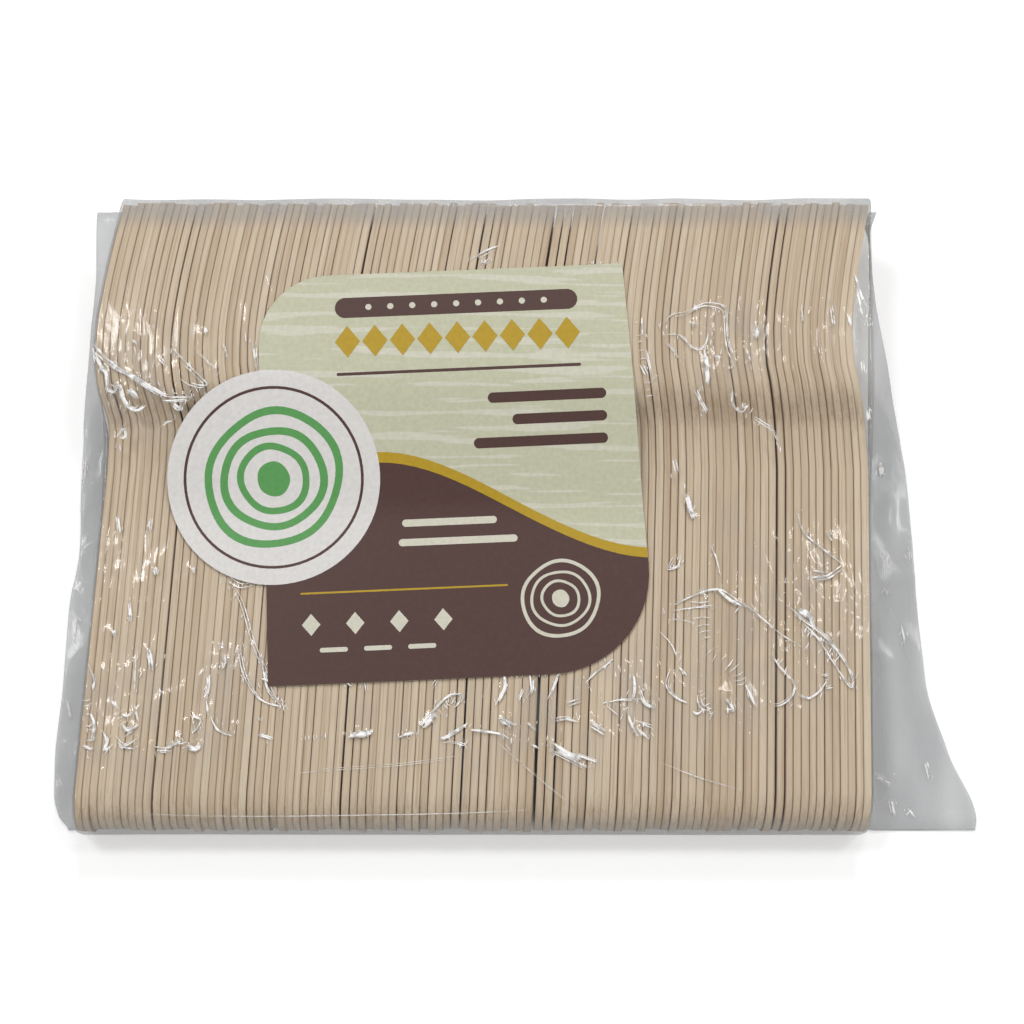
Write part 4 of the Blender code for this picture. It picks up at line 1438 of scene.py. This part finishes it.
def make_threads():
    data = bpy.data.curves.new("film_crease_highlights", "CURVE")
    data.dimensions = "3D"
    data.bevel_depth = MM / 2
    data.bevel_resolution = 0
    data.use_fill_caps = True
    for width, pixels in thread_paths():
        places = []
        for px, py in pixels:
            hit, spot, *_ = bag.ray_cast(camera.location, sight_line(px, py))
            if hit:
                places.append(spot)
        if len(places) < 2:
            continue
        spline = data.splines.new("POLY")
        spline.points.add(len(places) - 1)
        for i, (point, spot) in enumerate(zip(spline.points, places)):
            end = min(1.0, END_TAPER + min(i, len(places) - 1 - i) * TAPER_STEP)
            point.co = (*spot, 1)
            point.radius = width * end * (1 + picker.uniform(-1, 1) * THREAD_TREMBLE)
    threads = bpy.data.objects.new("film_crease_highlights", data)
    bpy.context.scene.collection.objects.link(threads)
    select_only(threads)
    bpy.ops.object.convert(target="MESH")
    threads = bpy.context.object
    bpy.ops.object.shade_smooth()
    threads.data.materials.append(highlight_thread_material())
    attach(threads, "root")
    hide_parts("film_bag")
    return threads


threads = make_threads()
print("thread triangles:", sum(len(face.vertices) - 2 for face in threads.data.polygons))

# %% [markdown]
# ## The label
#
# The label is drawn flat: a plane with two bevelled corners, joined with a circle. Then it is cut
# across into strips and laid over the film. Each ink is drawn the same way as flat shapes, trimmed to
# the label and laid a hair above the paper, so its edges stay crisp.

# %% Paper and ink
PAPER_GREEN = (0.51, 0.51, 0.37)
PAPER_STREAK = (0.59, 0.575, 0.47)
INK_BROWN = (0.080, 0.040, 0.034)
INK_MUSTARD = (0.44, 0.285, 0.02)
INK_PALE = (0.60, 0.58, 0.48)
INK_GREEN = (0.10, 0.31, 0.09)
DISC_WHITE = (0.67, 0.65, 0.63)


def paper_material(name, colour, streak=None):
    """Coated paper in one ink, faintly mottled, with long streaks like wood grain where they are given."""
    material, tree = empty_material(name)
    coords = node(tree, "ShaderNodeTexCoord")
    base = (*colour, 1)
    if streak:
        waves = cloudy(tree, coords.outputs["Object"], (26, 430, 1), 2.0)
        base = mix_colours(tree, ramp(tree, waves, 0.54, 0.58), base, (*streak, 1))
    mottle = cloudy(tree, coords.outputs["Object"], 900.0, 3.0)
    tinted = mix_colours(tree, 1.0, base, ramp(tree, mottle, 0.3, 0.7, 0.94, 1.05), "MULTIPLY")
    relief = bump(tree, mottle, 0.06, FINE_BUMP)
    put_on(tree, principled(tree, tinted, 0.42, 0.25, Normal=relief))
    return material


# %% Flat shapes
RING_WOBBLE, RING_TURN = 0.035, 1.3
CORNER_SEGMENTS, CIRCLE_POINTS, BAR_POINTS = 14, 72, 16


def flat_panel():
    """The panel's outline, drawn flat about its middle."""
    panel = add_mesh(bpy.ops.mesh.primitive_plane_add, size=1)
    for vert in panel.data.vertices:
        taper = PANEL_TAPER if vert.co.x > 0 and vert.co.y > 0 else 0
        vert.co = (vert.co.x * PANEL_WIDTH - taper, vert.co.y * PANEL_HEIGHT, 0)
    for side_x, side_y, radius in ROUND_CORNERS:
        start_editing(panel)
        bpy.ops.mesh.select_mode(type="VERT")
        mesh = bmesh.from_edit_mesh(panel.data)
        corner = max(mesh.verts, key=lambda v: side_x * v.co.x + side_y * v.co.y)
        corner.select_set(True)
        bmesh.update_edit_mesh(panel.data)
        bpy.ops.mesh.bevel(offset=radius, segments=CORNER_SEGMENTS, affect="VERTICES")
        stop_editing()
    return panel


def flat_circle(x, y, radius, inner=0.0):
    """A filled circle, or a ring where inner is given."""
    circle = add_mesh(bpy.ops.mesh.primitive_circle_add, vertices=CIRCLE_POINTS, radius=radius,
                      fill_type="NGON", location=(x, y, 0))
    bpy.ops.object.transform_apply(location=True)
    if inner:
        start_editing(circle, "SELECT")
        bpy.ops.mesh.inset(thickness=radius - inner)
        bpy.ops.mesh.delete(type="FACE")
        stop_editing()
    return circle


def flat_field(outline):
    """A flat shape through these corners."""
    field = add_mesh(bpy.ops.mesh.primitive_circle_add, vertices=len(outline), radius=1, fill_type="NGON")
    for vert, (x, y) in zip(field.data.vertices, outline):
        vert.co = (x, y, 0)
    return field


def flat_bar(x, y, width, height):
    """A bar with round ends, about its middle."""
    radius, outline = height / 2, []
    for step in range(BAR_POINTS):
        angle = 2 * math.pi * (step + 0.5) / BAR_POINTS
        end = math.copysign(width / 2 - radius, math.cos(angle))
        outline.append((x + end + radius * math.cos(angle), y + radius * math.sin(angle)))
    return flat_field(outline)


def flat_diamond(x, y, width, height):
    return flat_field([(x - width / 2, y), (x, y - height / 2), (x + width / 2, y), (x, y + height / 2)])


def growth_ring(x, y, radius, width, turn):
    """A ring that is a little out of round, like a ring of a tree. Its width may be the whole radius."""
    ring = flat_circle(0, 0, radius, max(0.0, radius - width))
    for vert in ring.data.vertices:
        angle = math.atan2(vert.co.y, vert.co.x)
        swell = 1 + RING_WOBBLE * (math.sin(2 * angle + turn) + 0.4 * math.sin(5 * angle + 2 * turn))
        vert.co = vert.co * swell + Vector((x, y, 0))
    return ring


def face_up(shape):
    """Turns a flat shape over if it faces down."""
    shape.data.update()
    if shape.data.polygons[0].normal.z < 0:
        shape.data.flip_normals()


def joined(shapes):
    """One flat shape of several, all facing up."""
    for shape in shapes:
        face_up(shape)
    select_only(*shapes)
    if len(shapes) > 1:
        bpy.ops.object.join()
    return shapes[0]


def thicken(shape, thick):
    """Gives a flat shape its thickness, upwards."""
    face_up(shape)
    add_modifier(shape, "SOLIDIFY", thickness=thick, offset=1)


def trim(shape, cutter, operation="INTERSECT"):
    add_modifier(shape, "BOOLEAN", object=cutter, operation=operation, solver="EXACT")


# %% Laying a shape over the film
STRIP = 2.0 * MM


def lay(shape, lift, name, material):
    """Turns a flat shape as the label is turned, cuts it across and lays it on the film."""
    shape.data.transform(Matrix.Translation((LABEL_X, LABEL_Y, 0)) @ Matrix.Rotation(LABEL_TURN, 4, "Z"))
    ys = [v.co.y for v in shape.data.vertices]
    start_editing(shape)
    at = math.ceil(min(ys) / STRIP) * STRIP
    while at < max(ys):
        bpy.ops.mesh.select_all(action="SELECT")
        bpy.ops.mesh.bisect(plane_co=(0, at, 0), plane_no=(0, 1, 0))
        at += STRIP
    bpy.ops.mesh.select_all(action="SELECT")
    bpy.ops.mesh.quads_convert_to_tris()
    stop_editing()
    for vert in shape.data.vertices:
        vert.co.z += float(film_height(vert.co.y)) + lift
    shape.name = name
    face_outwards(shape)
    bpy.ops.object.shade_smooth_by_angle(angle=SMOOTH_UNDER)
    shape.data.materials.clear()
    shape.data.materials.append(material)
    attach(shape, "root")
    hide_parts("label")


# %% The paper and its print
PAPER_THICK = 0.18 * MM
INK_THICK = 0.03 * MM
INK_STEP = 0.04 * MM
LABEL_CLEAR = 0.16 * MM
DISC_MARGIN = 0.05 * MM
TRIM_TALL = 8


def print_ink(shapes, layer, name, colour, inside=None):
    """Prints flat shapes on the paper in one ink, trimmed to the panel where that is given."""
    shape = joined(shapes)
    thicken(shape, INK_THICK)
    if inside is not None:
        trim(shape, inside)
    lay(shape, LABEL_CLEAR + PAPER_THICK + layer * INK_STEP, name, paper_material(name, colour))


def make_paper():
    """The label's paper. Returns a tall copy of the panel to trim its print with."""
    panel = flat_panel()
    thicken(panel, PAPER_THICK)
    inside = panel.copy()
    inside.data = panel.data.copy()
    bpy.context.scene.collection.objects.link(inside)
    inside.data.transform(Matrix.Translation((0, 0, -PAPER_THICK)) @ Matrix.Scale(TRIM_TALL, 4, (0, 0, 1)))
    disc = flat_circle(DISC_X, DISC_UP, DISC_RADIUS)
    thicken(disc, PAPER_THICK)
    trim(panel, disc, "UNION")
    bpy.data.objects.remove(disc, do_unlink=True)
    lay(panel, LABEL_CLEAR, "label_paper", paper_material("label_green", PAPER_GREEN, PAPER_STREAK))
    return inside


inside = make_paper()

# %% [markdown]
# ## The print
#
# The print is a generic one in the same colours: a brown field under a mustard band, bars, rows of
# diamonds, and growth rings of a tree on the disc and on a small badge. It says nothing in words.

# %% The fields of colour
BAND_HIGH, BAND_FALL, BAND_FROM, BAND_LENGTH, BAND_WIDTH = 6 * MM, 27 * MM, -20 * MM, 70 * MM, 2.6 * MM
FIELD_REACH = PANEL_WIDTH / 2 + 5 * MM


def band_line():
    """The band's upper edge: level at the left, then falling to the right."""
    xs = np.linspace(-FIELD_REACH, FIELD_REACH, 33)
    return [(float(x), float(BAND_HIGH - BAND_FALL * ease((x - BAND_FROM) / BAND_LENGTH))) for x in xs]


line = band_line()
band = line + [(x, y - BAND_WIDTH) for x, y in reversed(line)]
field = [(x, y - BAND_WIDTH / 2) for x, y in line]
field += [(FIELD_REACH, -PANEL_HEIGHT), (-FIELD_REACH, -PANEL_HEIGHT)]

# %% The ornaments, in millimetres from the label's middle
# A bar is x, y, width and height. A row is its count, x, y, pitch and the size of each piece. A ring
# is its radius and width.
BROWN_BARS = ((2, 43, 62, 5.5), (2, 25.5, 62, 0.8), (24, 18, 30, 2.6), (27, 12.5, 24, 2.6),
              (22, 7, 34, 2.6))
BAR_DOTS = (9, 2, 43, 5.6, 0.8)
HEADER_DIAMONDS = (9, 2, 34, 7, 6.4, 8.4)
FOOT_DIAMONDS = (4, -21, -37, 11, 4.6, 5.6)
PALE_BARS = ((-2, -12, 24, 1.9), (0, -17, 30, 1.9), (-32, -43.5, 7, 1.2), (-21, -43.5, 7, 1.2),
             (-10, -43.5, 7, 1.2))
MUSTARD_LINE = (-14, -29, 52, 0.5)
BADGE_X, BADGE_Y, BADGE_RINGS = 25, -33, ((10, 0.9), (7.4, 0.7), (4.9, 0.7), (2.2, 2.2))
DISC_RINGS = ((17.5, 1.9), (13.2, 1.9), (9.0, 1.7), (4.2, 4.2))
RIM_OUTER, RIM_INNER = 22.8, 22.1


def bars(sizes):
    return [flat_bar(*[value * MM for value in size]) for size in sizes]


def row_of(count, x, y, pitch):
    """The places of a row about its middle."""
    return [((x + (i - (count - 1) / 2) * pitch) * MM, y * MM) for i in range(count)]


def diamonds(count, x, y, pitch, width, height):
    return [flat_diamond(*place, width * MM, height * MM) for place in row_of(count, x, y, pitch)]


def rings(x, y, sizes):
    return [growth_ring(x, y, radius * MM, width * MM, RING_TURN * i)
            for i, (radius, width) in enumerate(sizes)]


dots = [flat_circle(*place, BAR_DOTS[4] * MM) for place in row_of(*BAR_DOTS[:4])]
print_ink([flat_field(field)] + bars(BROWN_BARS), 0, "label_brown_print", INK_BROWN, inside)
print_ink([flat_field(band)] + diamonds(*HEADER_DIAMONDS) + bars([MUSTARD_LINE]), 1, "label_mustard_print",
          INK_MUSTARD, inside)
pale = diamonds(*FOOT_DIAMONDS) + bars(PALE_BARS) + rings(BADGE_X * MM, BADGE_Y * MM, BADGE_RINGS) + dots
print_ink(pale, 1, "label_pale_print", INK_PALE, inside)
print_ink([flat_circle(DISC_X, DISC_UP, DISC_RADIUS - DISC_MARGIN)], 2, "label_disc", DISC_WHITE)
print_ink([flat_circle(DISC_X, DISC_UP, RIM_OUTER * MM, RIM_INNER * MM)], 3, "label_disc_ring", INK_BROWN)
print_ink(rings(DISC_X, DISC_UP, DISC_RINGS), 3, "label_green_print", INK_GREEN)
bpy.data.objects.remove(inside, do_unlink=True)
